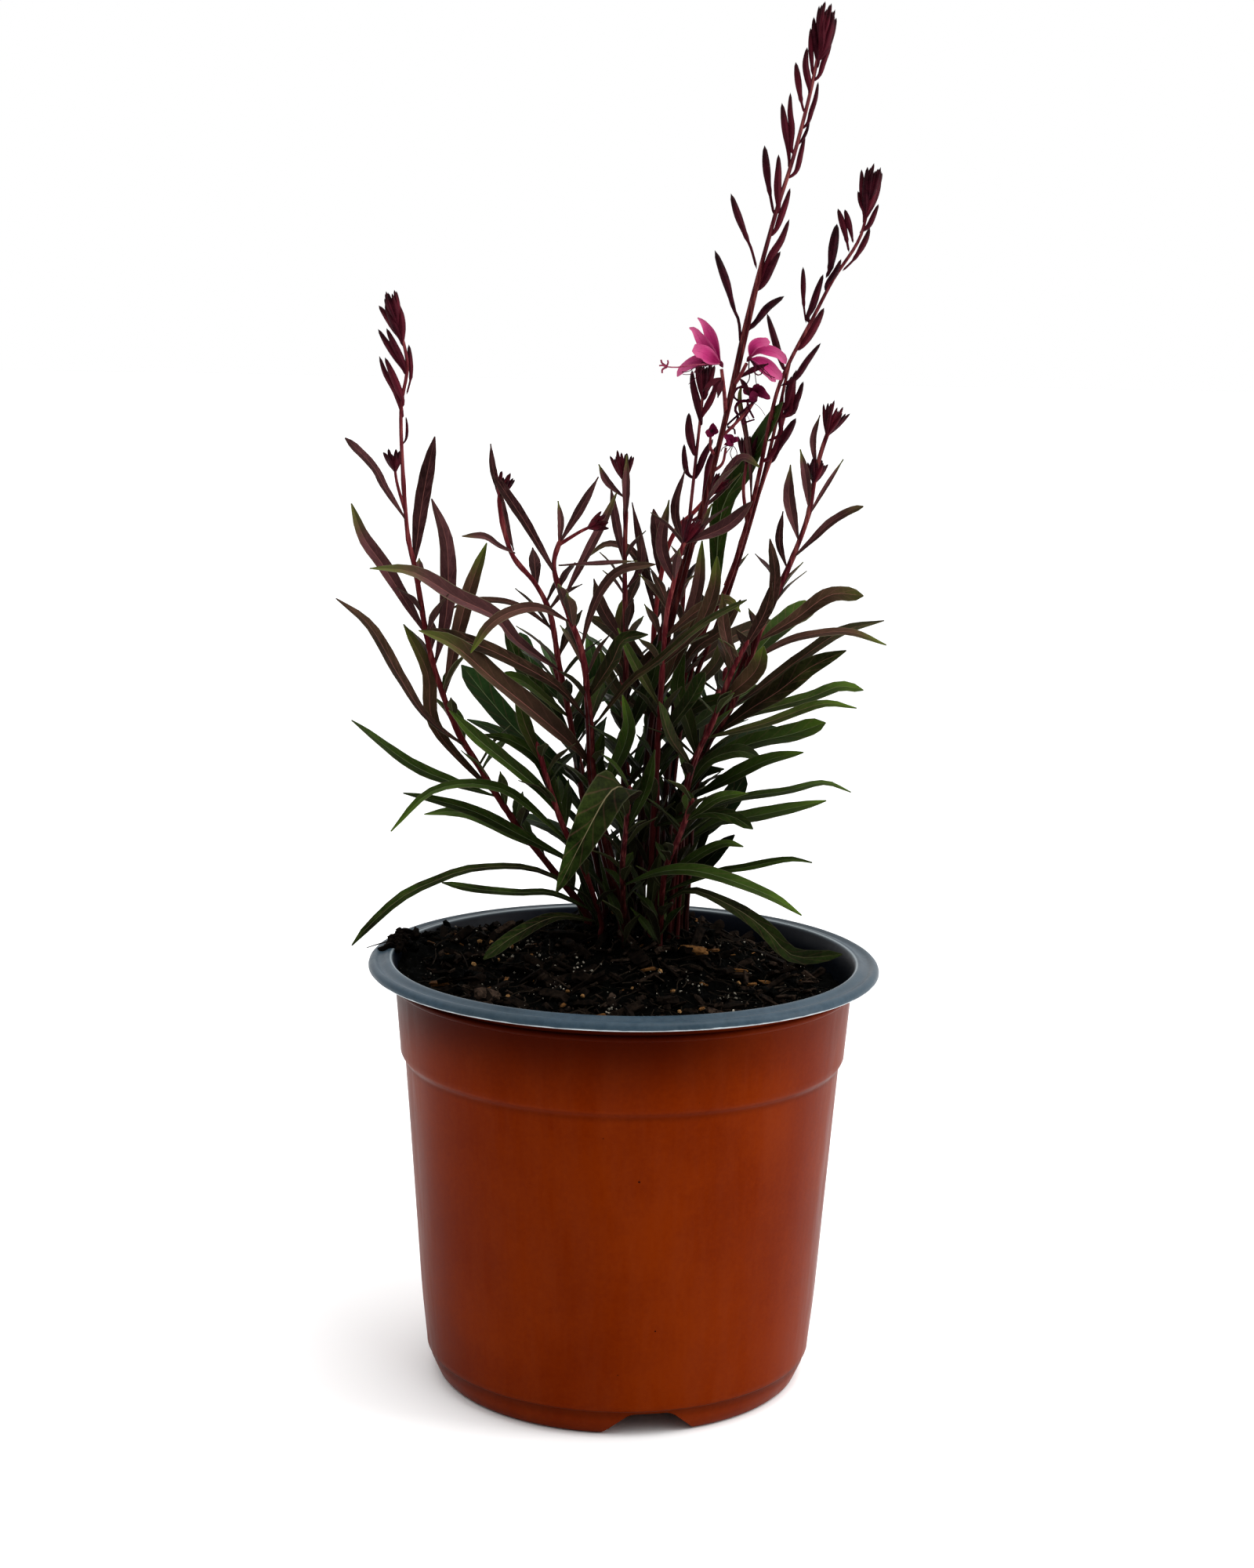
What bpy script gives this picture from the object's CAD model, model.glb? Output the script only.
"""A potted gaura: bronze foliage, red stems, bud spikes and pink blooms in a nursery pot.

Plant and pot are given in millimetres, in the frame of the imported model, and built in metres.
"""

import logging
import math
from collections.abc import Callable, Iterator, Sequence
from contextlib import contextmanager
from dataclasses import dataclass, field
from enum import Enum

import bpy
import numpy as np
from mathutils import Euler, Matrix, Vector, noise


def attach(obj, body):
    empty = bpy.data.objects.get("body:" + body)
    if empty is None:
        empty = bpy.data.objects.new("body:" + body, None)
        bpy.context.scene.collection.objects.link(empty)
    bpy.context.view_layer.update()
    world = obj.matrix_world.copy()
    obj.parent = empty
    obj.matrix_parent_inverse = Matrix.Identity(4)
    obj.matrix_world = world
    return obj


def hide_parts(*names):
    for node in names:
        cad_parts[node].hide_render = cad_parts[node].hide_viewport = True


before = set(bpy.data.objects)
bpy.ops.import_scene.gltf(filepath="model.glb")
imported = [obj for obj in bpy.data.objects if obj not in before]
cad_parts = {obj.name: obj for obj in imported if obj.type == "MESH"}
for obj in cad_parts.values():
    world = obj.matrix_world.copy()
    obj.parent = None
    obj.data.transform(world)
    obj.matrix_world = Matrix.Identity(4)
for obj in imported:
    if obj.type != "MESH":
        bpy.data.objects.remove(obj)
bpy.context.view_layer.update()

logging.basicConfig(level=logging.INFO, format="%(message)s")
log = logging.getLogger("gaura")

MM = 0.001
GOLDEN_ANGLE = 137.5
UP = np.array([0.0, 0.0, 1.0])
BACK = np.array([0.0, 1.0, 0.0])

# The eye that the plant's points are given for, in the plane of the pot's axis.
EYE = np.array([0.0, -800.0, 336.0])

# Sizes that the stems and the pot share, in millimetres.
POT_HEIGHT = 142.4
MOUTH_RADIUS = 77.6
ROOT_DEPTH = 15.0
ROD_STEP = 15.0
LEAF_ROLL = 38.0
LEAF_REACH = 88.0
CLEAR = 1.7
SMALL_CLEAR = 0.1
WALL_GAP = 4.0
SOIL_GAP = 1.6
DOT = 0.4
ROD_DOTS = 2.0
BUD_START = 0.2
BRACTS = 12

# The stalks as they are drawn: their radius at the end, and as a share of the solid's above the foot.
ROD_END = 0.75
SLENDER = 0.74

# Leaves: half widths from which one is wide or broad, the tips that hang down, the blades' slope at the tip.
WIDE_HALF = 3.9
BROAD_HALF = 6.0
LOW_TIP = 152.0
TIP_SLOPE = -3.2

# The full turn that random turns are shares of, the turns that lay a rod along x,
# and the crown's middle in metres.
FULL_TURN = 6.28
LYING = (0, math.pi / 2, 0)
CROWN_MIDDLE = (0.008, 0.026, 0.19)

Rows = tuple[tuple, ...]
Profile = Sequence[tuple[float, float]]
Draw = Callable[[], float]


class Seed(Enum):
    """The first states of the random draws."""

    CUPS = 67
    FILLING = 101
    SMALL_LEAVES = 1409
    SOIL = 2903
    CHIPS = 41
    LEAVES = 733
    COMPANIONS = 631
    BUDS = 547
    BLOOMS = 811


class Slot(Enum):
    """The record's material slots."""

    POT = "pot_plastic"
    LINING = "pot_lining"
    SOIL = "soil"
    BARK = "bark_chips"
    PERLITE = "perlite"
    BRONZE = "bronze_foliage"
    GREEN = "green_foliage"
    STALK = "red_stem"
    BUD = "maroon_bud"
    PETAL = "pink_petal"
    WITHERED = "withered_petal"


@dataclass(frozen=True)
class StemRow:
    """One stem as the front view shows it, in millimetres.

    Points are (x, z, depth y). fill is (leaves, lowest, highest, length, width, rise).
    leaves: (height on the stem, depth of the tip from there, width, points up to the tip)
    buds: (height on the stem, x, z and depth of the tip, thickness)
    tufts: (height on the stem, buds, their length, spread in degrees)
    twigs: (height on the stem, radius, points, buds in its tuft, their length)
    sepals: (its twig, share of the twig's length, x, z and depth of its tip)
    """

    node: str
    root: tuple[float, float]
    radius: float
    path: Rows
    fill: tuple[float, ...]
    leaves: Rows = ()
    buds: Rows = ()
    tufts: Rows = ()
    twigs: Rows = ()
    sepals: Rows = ()


@dataclass(frozen=True)
class BloomRow:
    """One bloom: the tall stem's twig that carries it, and the tips of its petals and stamens.

    shapes: (half width, bluntness, points) of each petal as it is drawn.
    threads: (radius, points) of what hangs from it.
    """

    node: str
    twig: int
    core: float
    petals: Rows
    stamens: Rows = ()
    shapes: Rows = ()
    threads: Rows = ()


STEMS = (
    StemRow(
        "stem_tall_spike", root=(5, 26), radius=1.9, fill=(6, 170, 290, 24, 3, 52),
        path=(
            (4, 174, 20), (7, 214, 12), (11, 252, 6), (22, 288, 2), (28, 313, 0), (32, 333, 0),
            (36, 353, 0), (44, 385, 0), (49, 402, -1), (54, 423, -2), (57, 440, -3),
        ),
        leaves=(
            (236, -14, 4, ((18, 252), (22, 266), (23, 281))), (222, 18, 4, ((-4, 232), (-10, 246))),
            (204, -22, 4, ((-4, 214), (-13, 220))),
        ),
        buds=(
            (414, 49, 431, -3, 1.2), (402, 47, 421, -2, 1.3), (399, 44, 417, 5, 1.2),
            (384, 40, 407, -3, 1.3), (386, 44, 403, 4, 1.1), (367, 29, 391, 2, 1.3),
            (347, 25, 373, -3, 1.4), (363, 49, 383, 3, 1.3), (360, 46, 373, -5, 1.4),
            (348, 47, 359, 2, 1.6), (428, 60, 438, 2, 1.2), (336, 42, 353, 5, 1.3),
            (376, 37, 392, 7, 1.1), (328, 36, 319, -4, 0.9), (322, 33, 315, 4, 0.9),
        ),
        tufts=((438, 7, 11, 17),),
        twigs=(
            (321, 0.9, ((29, 329, -7), (28, 336, -9)), 0, 0),
            (330, 0.9, ((34, 334, -4), (36, 338, -3)), 0, 0),
            (314, 0.7, ((34, 320, 5), (38, 325, 7)), 0, 0),
            (308, 0.7, ((25, 311, -4), (25, 315, -5)), 0, 0),
            (303, 0.7, ((29, 306, -6), (30, 311, -8)), 0, 0),
        ),
        sepals=(
            (0, 0.85, 22, 329, -13), (0, 0.85, 25, 328, -4), (0, 0.8, 27, 327, -15),
            (1, 0.45, 43, 338, -4), (1, 0.5, 37, 328, -2),
        ),
    ),
    StemRow(
        "stem_right_spike", root=(12, 33), radius=1.6, fill=(5, 175, 262, 24, 3.4, 50),
        path=(
            (13, 200, 30), (19, 240, 29), (30, 263, 26), (35, 278, 24), (40, 298, 21), (45, 325, 17),
            (49, 337, 15), (57, 353, 13), (63, 365, 12), (71, 378, 11), (74, 392, 10),
        ),
        leaves=(
            (258, 12, 8, ((29, 290), (37, 305), (48, 326))), (238, 26, 6, ((34, 250), (48, 255))),
            (214, 24, 6, ((30, 226), (44, 234))),
        ),
        buds=(
            (376, 65, 388, 9, 1.1), (374, 64, 386, 15, 1.1), (364, 62, 382, 12, 1.2),
            (350, 53, 368, 12, 1.2), (354, 59, 366, 16, 1.2), (345, 61, 357, 14, 1.2),
            (334, 60, 345, 12, 1.2), (384, 77, 396, 8, 1), (318, 54, 334, 21, 1.4),
            (308, 51, 320, 14, 1.4), (299, 48, 311, 24, 1.3),
        ),
        tufts=((389, 6, 11, 17),),
        twigs=(
            (266, 1, ((37, 283, 30), (42, 300, 32), (46, 312, 31), (50, 327, 30)), 5, 11),
            (287, 0.8, ((36, 298, 26), (37, 308, 26)), 6, 9),
        ),
    ),
    StemRow(
        "stem_left_spike", root=(-13, 17), radius=1.7, fill=(7, 172, 262, 22, 3.2, 55),
        path=(
            (-25, 172, 12), (-37, 187, 7), (-50, 207, 0), (-57, 219, -5), (-65, 242, -11),
            (-70, 269, -16), (-73, 284, -18), (-75, 319, -22), (-73, 336, -24), (-77, 352, -26),
        ),
        leaves=(
            (285, -8, 3, ((-80, 296), (-84, 303), (-93, 312))), (271, 10, 5, ((-68, 292), (-64, 313))),
            (248, -14, 4.5, ((-80, 270), (-87, 280), (-91, 291))),
            (194, -20, 4, ((-63, 217), (-66, 236), (-74, 252))),
            (211, -30, 4.5, ((-66, 221), (-75, 234), (-85, 251), (-96, 260))),
            (195, -26, 4.5, ((-58, 200), (-72, 206), (-91, 220))),
            (238, 16, 5, ((-60, 256), (-60, 278), (-65, 293))),
            (228, 12, 4.5, ((-56, 250), (-52, 265), (-47, 279))),
            (178, 10, 4, ((-49, 188), (-58, 190), (-67, 189))),
        ),
        buds=(
            (336, -82, 347, -27, 1.2), (335, -79, 347, -20, 1.2), (324, -82, 338, -26, 1.2),
            (326, -78, 338, -19, 1.2), (326, -72, 342, -22, 1.1), (318, -71, 330, -26, 1),
        ),
        tufts=((349, 6, 9, 20),),
        twigs=((288, 0.7, ((-76, 297, -20), (-77, 303, -21)), 5, 6),),
    ),
    StemRow(
        "stem_bud_spike", root=(12, 24), radius=1.4, fill=(4, 180, 270, 22, 3, 58),
        path=((13, 200, 18), (16, 240, 14), (18, 278, 13), (20, 303, 13), (22, 326, 13), (22, 332, 13)),
        leaves=(
            (262, 12, 4, ((10, 278), (12, 294))), (277, -9, 3, ((14, 290), (17, 304))),
            (228, 22, 4.5, ((28, 240), (32, 252))),
        ),
        buds=(
            (317, 18, 335, 11, 1.3), (319, 26, 329, 15, 1.3), (306, 17, 322, 10, 1.3),
            (299, 16, 312, 16, 1.2), (302, 25, 314, 16, 1.3), (290, 23, 300, 17, 1.1),
        ),
        tufts=((328, 4, 10, 16),),
    ),
    StemRow(
        "stem_red_arching", root=(2, 34), radius=1.4, fill=(5, 180, 262, 26, 3.4, 48),
        path=(
            (8, 176, 32), (8, 214, 30), (8, 252, 28), (11, 275, 26), (15, 285, 25), (20, 290, 24),
            (28, 299, 22),
        ),
        leaves=(
            (297, 2, 3.4, ((32, 305), (36, 308), (41, 305))), (289, -5, 1.6, ((26, 294), (35, 303))),
            (268, 6, 4.6, ((9, 279), (7, 291))), (255, -6, 3, ((4, 275), (0, 293))),
            (261, -8, 3, ((1, 276), (-4, 279), (-9, 279), (-14, 275))),
            (272, 10, 4, ((19, 280), (26, 293))), (236, 20, 5, ((-4, 250), (-14, 256))),
        ),
        tufts=((297, 3, 6, 24),),
    ),
    StemRow(
        "stem_front_right_tuft", root=(8, 9), radius=1.5, fill=(5, 176, 268, 24, 3.2, 50),
        path=((9, 190, 2), (11, 240, -5), (12, 257, -8), (14, 267, -9), (16, 277, -10), (19, 284, -10)),
        leaves=(
            (280, -6, 4.6, ((31, 286), (39, 294))), (249, -14, 4, ((22, 258), (31, 262), (36, 258))),
            (240, -22, 4.5, ((22, 252), (27, 264), (28, 276))),
            (186, -22, 4, ((26, 191), (35, 190), (42, 186))), (214, -18, 5, ((20, 228), (25, 238))),
            (226, -12, 3.4, ((2, 240), (-4, 252))),
        ),
        tufts=((281, 5, 7, 26),),
    ),
    StemRow(
        "stem_centre_tuft", root=(3, 18), radius=1.4, fill=(5, 178, 276, 22, 3, 52),
        path=((-1, 200, 14), (-1, 240, 9), (-2, 272, 6), (-2, 289, 4), (-3, 303, 3)),
        leaves=(
            (294, 5, 2.6, ((-8, 299), (-11, 305))), (272, 8, 3, ((-5, 286), (-7, 298))),
            (286, -6, 2.6, ((-2, 296), (-2, 308))), (264, -12, 3, ((3, 272), (3, 284))),
            (246, 14, 4, ((-9, 258), (-12, 268))), (232, -18, 4.5, ((7, 242), (14, 246), (19, 244))),
        ),
        tufts=((301, 6, 7, 22),),
    ),
    StemRow(
        "stem_thick_left", root=(-1, 10), radius=1.9, fill=(5, 172, 266, 24, 3.2, 48),
        path=(
            (-8, 180, 6), (-12, 203, 0), (-13, 221, -5), (-15, 242, -10), (-20, 256, -13),
            (-25, 271, -15), (-23, 281, -16),
        ),
        leaves=(
            (279, -6, 3, ((-17, 290), (-11, 301))), (278, 6, 2.2, ((-23, 286), (-24, 293))),
            (267, -10, 3.4, ((-31, 280), (-36, 288), (-45, 301))),
            (272, -12, 1.8, ((-11, 273), (2, 274))), (261, 8, 3, ((-14, 277), (-9, 287), (-5, 296))),
            (244, -16, 3.2, ((-13, 256), (-9, 265), (-3, 271), (8, 273))),
            (205, -34, 9, ((-16, 211), (-30, 223), (-44, 234), (-57, 245), (-69, 250))),
            (221, -24, 4.5, ((-23, 232), (-37, 240), (-51, 246), (-68, 250))),
            (253, -18, 3.6, ((-29, 258), (-38, 257), (-46, 252), (-52, 243))),
            (228, -20, 5, ((-6, 240), (-2, 248), (6, 250))),
        ),
        twigs=((279, 0.8, ((-17, 283, -19), (-13, 285, -21)), 5, 6),),
    ),
    StemRow(
        "stem_left_tuft", root=(-7, 25), radius=1.5, fill=(5, 178, 266, 24, 3.2, 50),
        path=(
            (-12, 184, 24), (-16, 203, 21), (-19, 221, 18), (-23, 240, 14), (-26, 256, 11),
            (-31, 266, 9), (-39, 276, 7), (-43, 292, 6), (-41, 299, 5),
        ),
        leaves=(
            (292, -5, 2.4, ((-45, 302), (-46, 311))), (276, 8, 2.6, ((-41, 286), (-43, 297))),
            (275, -8, 2.6, ((-43, 278), (-48, 281), (-55, 281))),
            (237, -8, 7, ((-37, 247), (-44, 255), (-57, 261), (-71, 269), (-85, 270))),
            (251, -14, 2.4, ((-33, 257), (-41, 260), (-52, 260), (-59, 257))),
            (214, 20, 5, ((-26, 226), (-36, 240), (-41, 252))),
            (222, -16, 4, ((-27, 228), (-35, 234), (-42, 236))),
        ),
        tufts=((295, 5, 6, 26),),
    ),
    StemRow(
        "stem_right_leafy", root=(19, 18), radius=1.7, fill=(5, 184, 268, 22, 3.2, 50),
        path=(
            (21, 201, 12), (25, 212, 11), (34, 227, 9), (43, 253, 8), (51, 272, 9), (57, 289, 10),
            (59, 302, 10), (61, 311, 10), (64, 320, 10),
        ),
        leaves=(
            (291, -6, 3, ((56, 302), (54, 311))), (304, 5, 2.2, ((58, 314), (60, 322))),
            (288, 8, 1.6, ((62, 298), (68, 308))), (281, -8, 4, ((51, 294), (51, 306))),
            (275, -10, 3, ((59, 282), (64, 287), (70, 291), (75, 293))),
            (272, 7, 2.6, ((48, 281), (49, 291))), (253, -12, 3.4, ((46, 260), (47, 270), (45, 282))),
            (248, 8, 5, ((54, 256), (65, 264), (76, 264))), (242, 24, 7.5, ((50, 254), (60, 261))),
            (226, 26, 4, ((43, 233), (56, 243), (69, 252), (83, 256))),
            (241, 16, 3, ((50, 248), (60, 251), (72, 252), (84, 248))),
            (217, -14, 7, ((40, 226), (49, 232), (59, 240), (71, 246))),
            (219, 18, 4, ((42, 225), (59, 230), (69, 234), (77, 233))),
            (205, 14, 6.5, ((32, 211), (42, 215), (54, 218), (65, 222))),
            (195, -20, 5, ((34, 203), (46, 209), (58, 212))),
            (190, 22, 3, ((36, 196), (53, 199), (65, 202), (74, 199))),
            (181, 18, 4.5, ((30, 188), (41, 190), (54, 193), (66, 196))),
        ),
        tufts=((317, 6, 8, 20), (301, 4, 6, 24)),
    ),
    StemRow(
        "stem_right_front", root=(16, 10), radius=1.5, fill=(5, 176, 244, 22, 3.2, 46),
        path=((20, 200, -2), (28, 222, -8), (34, 239, -12), (39, 249, -14)),
        leaves=(
            (228, -6, 6, ((41, 238), (44, 247))), (216, -20, 3.4, ((44, 221), (63, 228), (75, 227))),
            (245, 6, 4, ((44, 258), (46, 268))), (240, -8, 3.6, ((31, 252), (30, 264))),
            (206, -20, 4.5, ((14, 216), (10, 228))),
        ),
    ),
    StemRow(
        "shoot_low_left", root=(-8, 9), radius=1.3, fill=(4, 170, 208, 22, 3.2, 44),
        path=((-14, 172, 2), (-21, 186, -3), (-26, 200, -7), (-30, 214, -9)),
        leaves=(
            (161, -8, 3, ((-30, 171), (-50, 171), (-62, 167), (-74, 161), (-85, 151), (-91, 144))),
            (157, -24, 3, ((-24, 163), (-36, 163), (-50, 164), (-61, 166))),
            (154, -34, 4, ((-23, 155), (-37, 148), (-47, 140))),
            (179, -12, 3.5, ((-36, 195), (-46, 199), (-57, 199), (-67, 195), (-78, 183))),
            (172, 6, 4, ((-36, 183), (-50, 190), (-64, 194), (-74, 196))),
            (189, -18, 5, ((-29, 198), (-40, 207), (-50, 215), (-59, 224))),
            (205, -12, 4, ((-34, 220), (-37, 232))),
        ),
    ),
    StemRow(
        "shoot_back_left", root=(-7, 35), radius=1.3, fill=(7, 172, 236, 30, 4.4, 44),
        path=((-11, 180, 38), (-14, 200, 42), (-20, 225, 47), (-25, 240, 50)),
        leaves=(
            (198, 16, 7.5, ((-25, 208), (-36, 217), (-46, 228), (-55, 239))),
            (190, 24, 5, ((-30, 209), (-43, 217), (-53, 221))), (226, 14, 5, ((-30, 236), (-36, 250))),
            (214, -12, 5, ((-12, 228), (-10, 244))), (178, 30, 5, ((-26, 186), (-40, 190))),
        ),
    ),
    StemRow(
        "shoot_back_right", root=(13, 42), radius=1.3, fill=(7, 174, 236, 30, 4.4, 42),
        path=((15, 180, 46), (20, 202, 51), (27, 224, 55), (32, 240, 58)),
        leaves=(
            (176, 14, 7, ((22, 182), (32, 192), (39, 204))), (228, 14, 5.5, ((36, 240), (44, 252))),
            (206, 22, 5.5, ((34, 214), (50, 220))), (218, -8, 5, ((20, 234), (16, 248))),
            (167, -6, 6, ((22, 170), (30, 178), (36, 184))),
        ),
    ),
    StemRow(
        "shoot_back", root=(3, 43), radius=1.3, fill=(9, 176, 242, 32, 4.4, 42),
        path=((2, 182, 49), (0, 206, 55), (-2, 230, 61), (-3, 246, 64)),
        leaves=((200, 20, 5, ((8, 218), (14, 232))), (220, 16, 5, ((-10, 236), (-14, 250)))),
    ),
    StemRow(
        "shoot_front_folded", root=(0, 2), radius=1.3, fill=(4, 168, 198, 18, 3, 46),
        path=((-1, 172, -8), (0, 186, -14), (1, 200, -18)),
        leaves=(
            (193, -32, 12, ((-1, 199, -12), (-6, 197, -22), (-14, 182, -30), (-23, 163, -34))),
            (166, -26, 4.5, ((12, 171), (26, 171), (47, 164), (59, 157))),
            (184, -16, 4, ((6, 198), (9, 212))),
        ),
    ),
    StemRow(
        "shoot_low_right", root=(12, 2), radius=1.3, fill=(4, 172, 194, 20, 3, 42),
        path=((13, 170, -6), (18, 184, -11), (22, 196, -14)),
        leaves=(
            (160, -8, 5, ((22, 165), (37, 159), (47, 152), (57, 143), (73, 144))),
            (164, -14, 2.5, ((30, 171), (40, 173), (54, 176), (62, 175))),
            (169, -10, 4, ((26, 178), (33, 181), (39, 180))), (188, -18, 4, ((30, 196), (40, 198))),
        ),
    ),
)

BLOOMS = (
    BloomRow(
        "bloom_left", twig=0, core=1.5,
        petals=((20, 352, -8, 6.5), (15, 347, -14, 7), (12, 340, -16, 6.5), (13, 334, -10, 6.5)),
        stamens=((9, 337, -18), (17, 331, -18), (19, 330, -20), (20, 333, -22), (14, 335, -21)),
        shapes=(
            (1.9, 0.0, ((25.6, 342.9, -9), (23.8, 347.2, -9), (21.7, 350.6, -10), (19.9, 352.1, -10))),
            (2.0, 0.1, ((23.2, 342.3, -12), (20.7, 345.6, -13), (19, 348.1, -14), (17.3, 348.9, -14))),
            (2.6, 0.8, ((23, 340.4, -14), (20.9, 341.4, -16), (18.4, 341.6, -17))),
            (2.0, 0.2, ((22.2, 338.7, -13), (18.3, 337.6, -15), (15.3, 335.7, -15), (13.8, 333.4, -15))),
        ),
        threads=(
            (0.3, ((19.8, 337.3, -17), (13.8, 336.4, -19), (10.3, 336.5, -20))),
            (0.4, ((10.4, 336.6, -20), (8.9, 337.6, -20), (8.5, 338.7, -20))),
            (0.4, ((10.4, 336.5, -20), (9, 335.6, -20), (8.9, 334.4, -20))),
            (0.35, ((10.4, 336.6, -20), (9, 336.9, -21), (7.9, 336.8, -21))),
            (0.35, ((10.4, 336.6, -20), (10.8, 337.8, -21), (10.6, 338.6, -21))),
            (0.16, ((22, 338, -15), (20, 336.2, -17), (19.4, 334.6, -18))),
            (0.16, ((22, 337.6, -15), (18.5, 334.4, -17), (15.5, 334.2, -18))),
            (0.16, ((23, 337, -15), (20, 333.4, -17), (17.4, 331, -18))),
            (0.2, ((20, 336.6, -17), (17.6, 335.2, -18), (15.2, 334.9, -18))),
        ),
    ),
    BloomRow(
        "bloom_right", twig=1, core=1.5,
        petals=((42, 347, 0, 6.5), (46, 346, 4, 6.5), (49, 340, 3, 7), (46, 333, 2, 6.5)),
        stamens=((37, 332, -13), (39, 331, -14), (41, 331, -13), (43, 332, -15)),
        shapes=(
            (1.7, 0.7, ((37.9, 343.3, -1), (40.1, 344.6, 0), (43.3, 344.8, 1))),
            (1.8, 0.5, ((39.7, 342, 1), (44, 341.8, 3), (47, 340.4, 4), (48.6, 338, 4))),
            (2.0, 0.6, ((40, 338.8, 0), (43.1, 336.9, 1), (45.4, 335, 2), (47.2, 333, 2))),
            (1.5, 0.5, ((38.4, 338.6, 1), (42.2, 335.6, 3), (45.4, 332.3, 4))),
        ),
        threads=(
            (0.24, ((36.7, 336.4, -6), (37, 333.3, -7), (35.6, 330.6, -7))),
            (
                0.3,
                (
                    (38.8, 337, -6), (38.4, 335.2, -8), (40.3, 334.3, -8), (41.5, 336.2, -7),
                    (41.2, 337.2, -6),
                ),
            ),
            (0.18, ((38.6, 336.6, -7), (38.9, 333.6, -8), (39.5, 330.5, -8))),
            (0.16, ((39.4, 337.4, -6), (42.4, 335.6, -7), (44.2, 333.2, -7))),
            (0.2, ((40, 336.8, -6), (42.6, 334.6, -7), (45.2, 333.6, -7))),
        ),
    ),
    BloomRow(
        "bloom_withered_right", twig=2, core=1.2,
        petals=((43, 328, 6, 3.4), (41, 331, 9, 3.4), (42, 324, 9, 3.2)),
        shapes=(
            (1.7, 0.4, ((37.4, 328.8, 6), (35, 329.6, 5))),
            (1.6, 0.4, ((39.6, 329.4, 6), (41.8, 328.2, 5), (43.8, 326.8, 5))),
            (1.5, 0.6, ((38.6, 327.6, 4), (37.9, 325.9, 3))),
            (1.4, 0.6, ((39.4, 330.2, 7), (40.8, 330.4, 8))),
        ),
        threads=(
            (0.5, ((36, 330, 6), (33.4, 330.3, 5), (32, 327.6, 5), (34.1, 325.6, 5))),
            (0.6, ((34.1, 325.9, 5), (32.6, 323.3, 6), (33.7, 320.9, 6), (31.8, 317.1, 7))),
            (0.5, ((36.6, 326.4, 5), (37.2, 323.4, 5), (38.7, 320.7, 6))),
            (0.4, ((34.8, 318.9, 8), (36.5, 319.4, 7), (39, 320.2, 6))),
            (0.45, ((30.2, 318.3, 6), (32.3, 317.6, 5), (32.8, 315.4, 5))),
            (0.14, ((38, 326, 4), (40.6, 324, 3), (42.4, 321.5, 3))),
            (0.14, ((37, 326, 4), (36, 323, 3), (37.4, 320, 3))),
        ),
    ),
    BloomRow(
        "bloom_withered_left", twig=3, core=1.1,
        petals=((22, 318, -6, 3), (25, 321, -8, 3), (28, 318, -8, 2.6)),
        shapes=(
            (1.4, 0.4, ((25, 315.6, -7), (23.2, 315.9, -8))),
            (1.3, 0.1, ((25.6, 316.8, -7), (25.7, 318.9, -8))),
            (1.2, 0.6, ((26.6, 316.4, -6), (27.4, 316.6, -6))),
        ),
    ),
    BloomRow(
        "bloom_withered_centre", twig=4, core=1.1,
        petals=((34, 314, -9, 3), (32, 317, -11, 3), (28, 314, -12, 2.6)),
        shapes=(
            (1.4, 0.4, ((31.2, 313.8, -11), (29.2, 314.6, -12))),
            (1.2, 0.5, ((31.6, 312.6, -11), (30.2, 312.4, -12))),
            (1.1, 0.5, ((33, 313.6, -10), (34, 313.9, -10))),
        ),
        threads=(
            (0.2, ((31.6, 311.6, -11), (30.4, 309.8, -11), (29.6, 308.4, -12))),
            (0.2, ((32, 311.4, -11), (31.4, 309.4, -11), (32.2, 307.2, -11))),
            (0.18, ((32.6, 311.4, -11), (33.6, 309, -11), (32.4, 305.6, -11))),
            (0.2, ((31, 312, -11), (29, 311, -12), (28.4, 309.8, -12))),
        ),
    ),
)

# Leaves that the solids leave out: (stem, as in its leaves).
MORE_LEAVES = (
    ("stem_right_spike", (292, 0, 1.8, ((38, 306), (36, 317), (34, 326), (34.5, 331)))),
    ("stem_front_right_tuft", (232, 10, 4, ((16, 244), (20, 254), (27, 262)))),
    ("stem_bud_spike", (214, 14, 4, ((10, 226), (8, 240), (10, 252)))),
    ("stem_bud_spike", (236, 10, 4, ((22, 246), (30, 252), (36, 262)))),
    ("stem_centre_tuft", (214, 12, 4.4, ((4, 226), (8, 236), (10, 248)))),
    ("stem_red_arching", (214, -10, 4, ((16, 222), (26, 228), (34, 230)))),
    ("stem_red_arching", (226, 14, 4, ((0, 238), (-3, 250), (-2, 262)))),
    ("stem_thick_left", (194, -14, 4.6, ((-4, 206), (0, 218), (-2, 230)))),
    ("stem_right_front", (198, 8, 4.6, ((26, 208), (36, 212), (44, 210)))),
    ("stem_right_leafy", (208, -10, 4.6, ((20, 220), (16, 232), (18, 244)))),
    ("stem_bud_spike", (184, -6, 4.6, ((18, 196), (24, 204), (32, 206)))),
    ("stem_centre_tuft", (184, -8, 4.6, ((-6, 196), (-10, 206), (-8, 218)))),
    ("stem_thick_left", (217, -30, 3, ((0, 234), (9, 241), (24, 254), (38, 262)))),
    ("stem_red_arching", (176, -8, 4.2, ((20, 184), (28, 190), (35, 200)))),
    ("shoot_low_left", (184, -8, 4, ((-28, 206), (-38, 214), (-48, 216)))),
)

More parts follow.
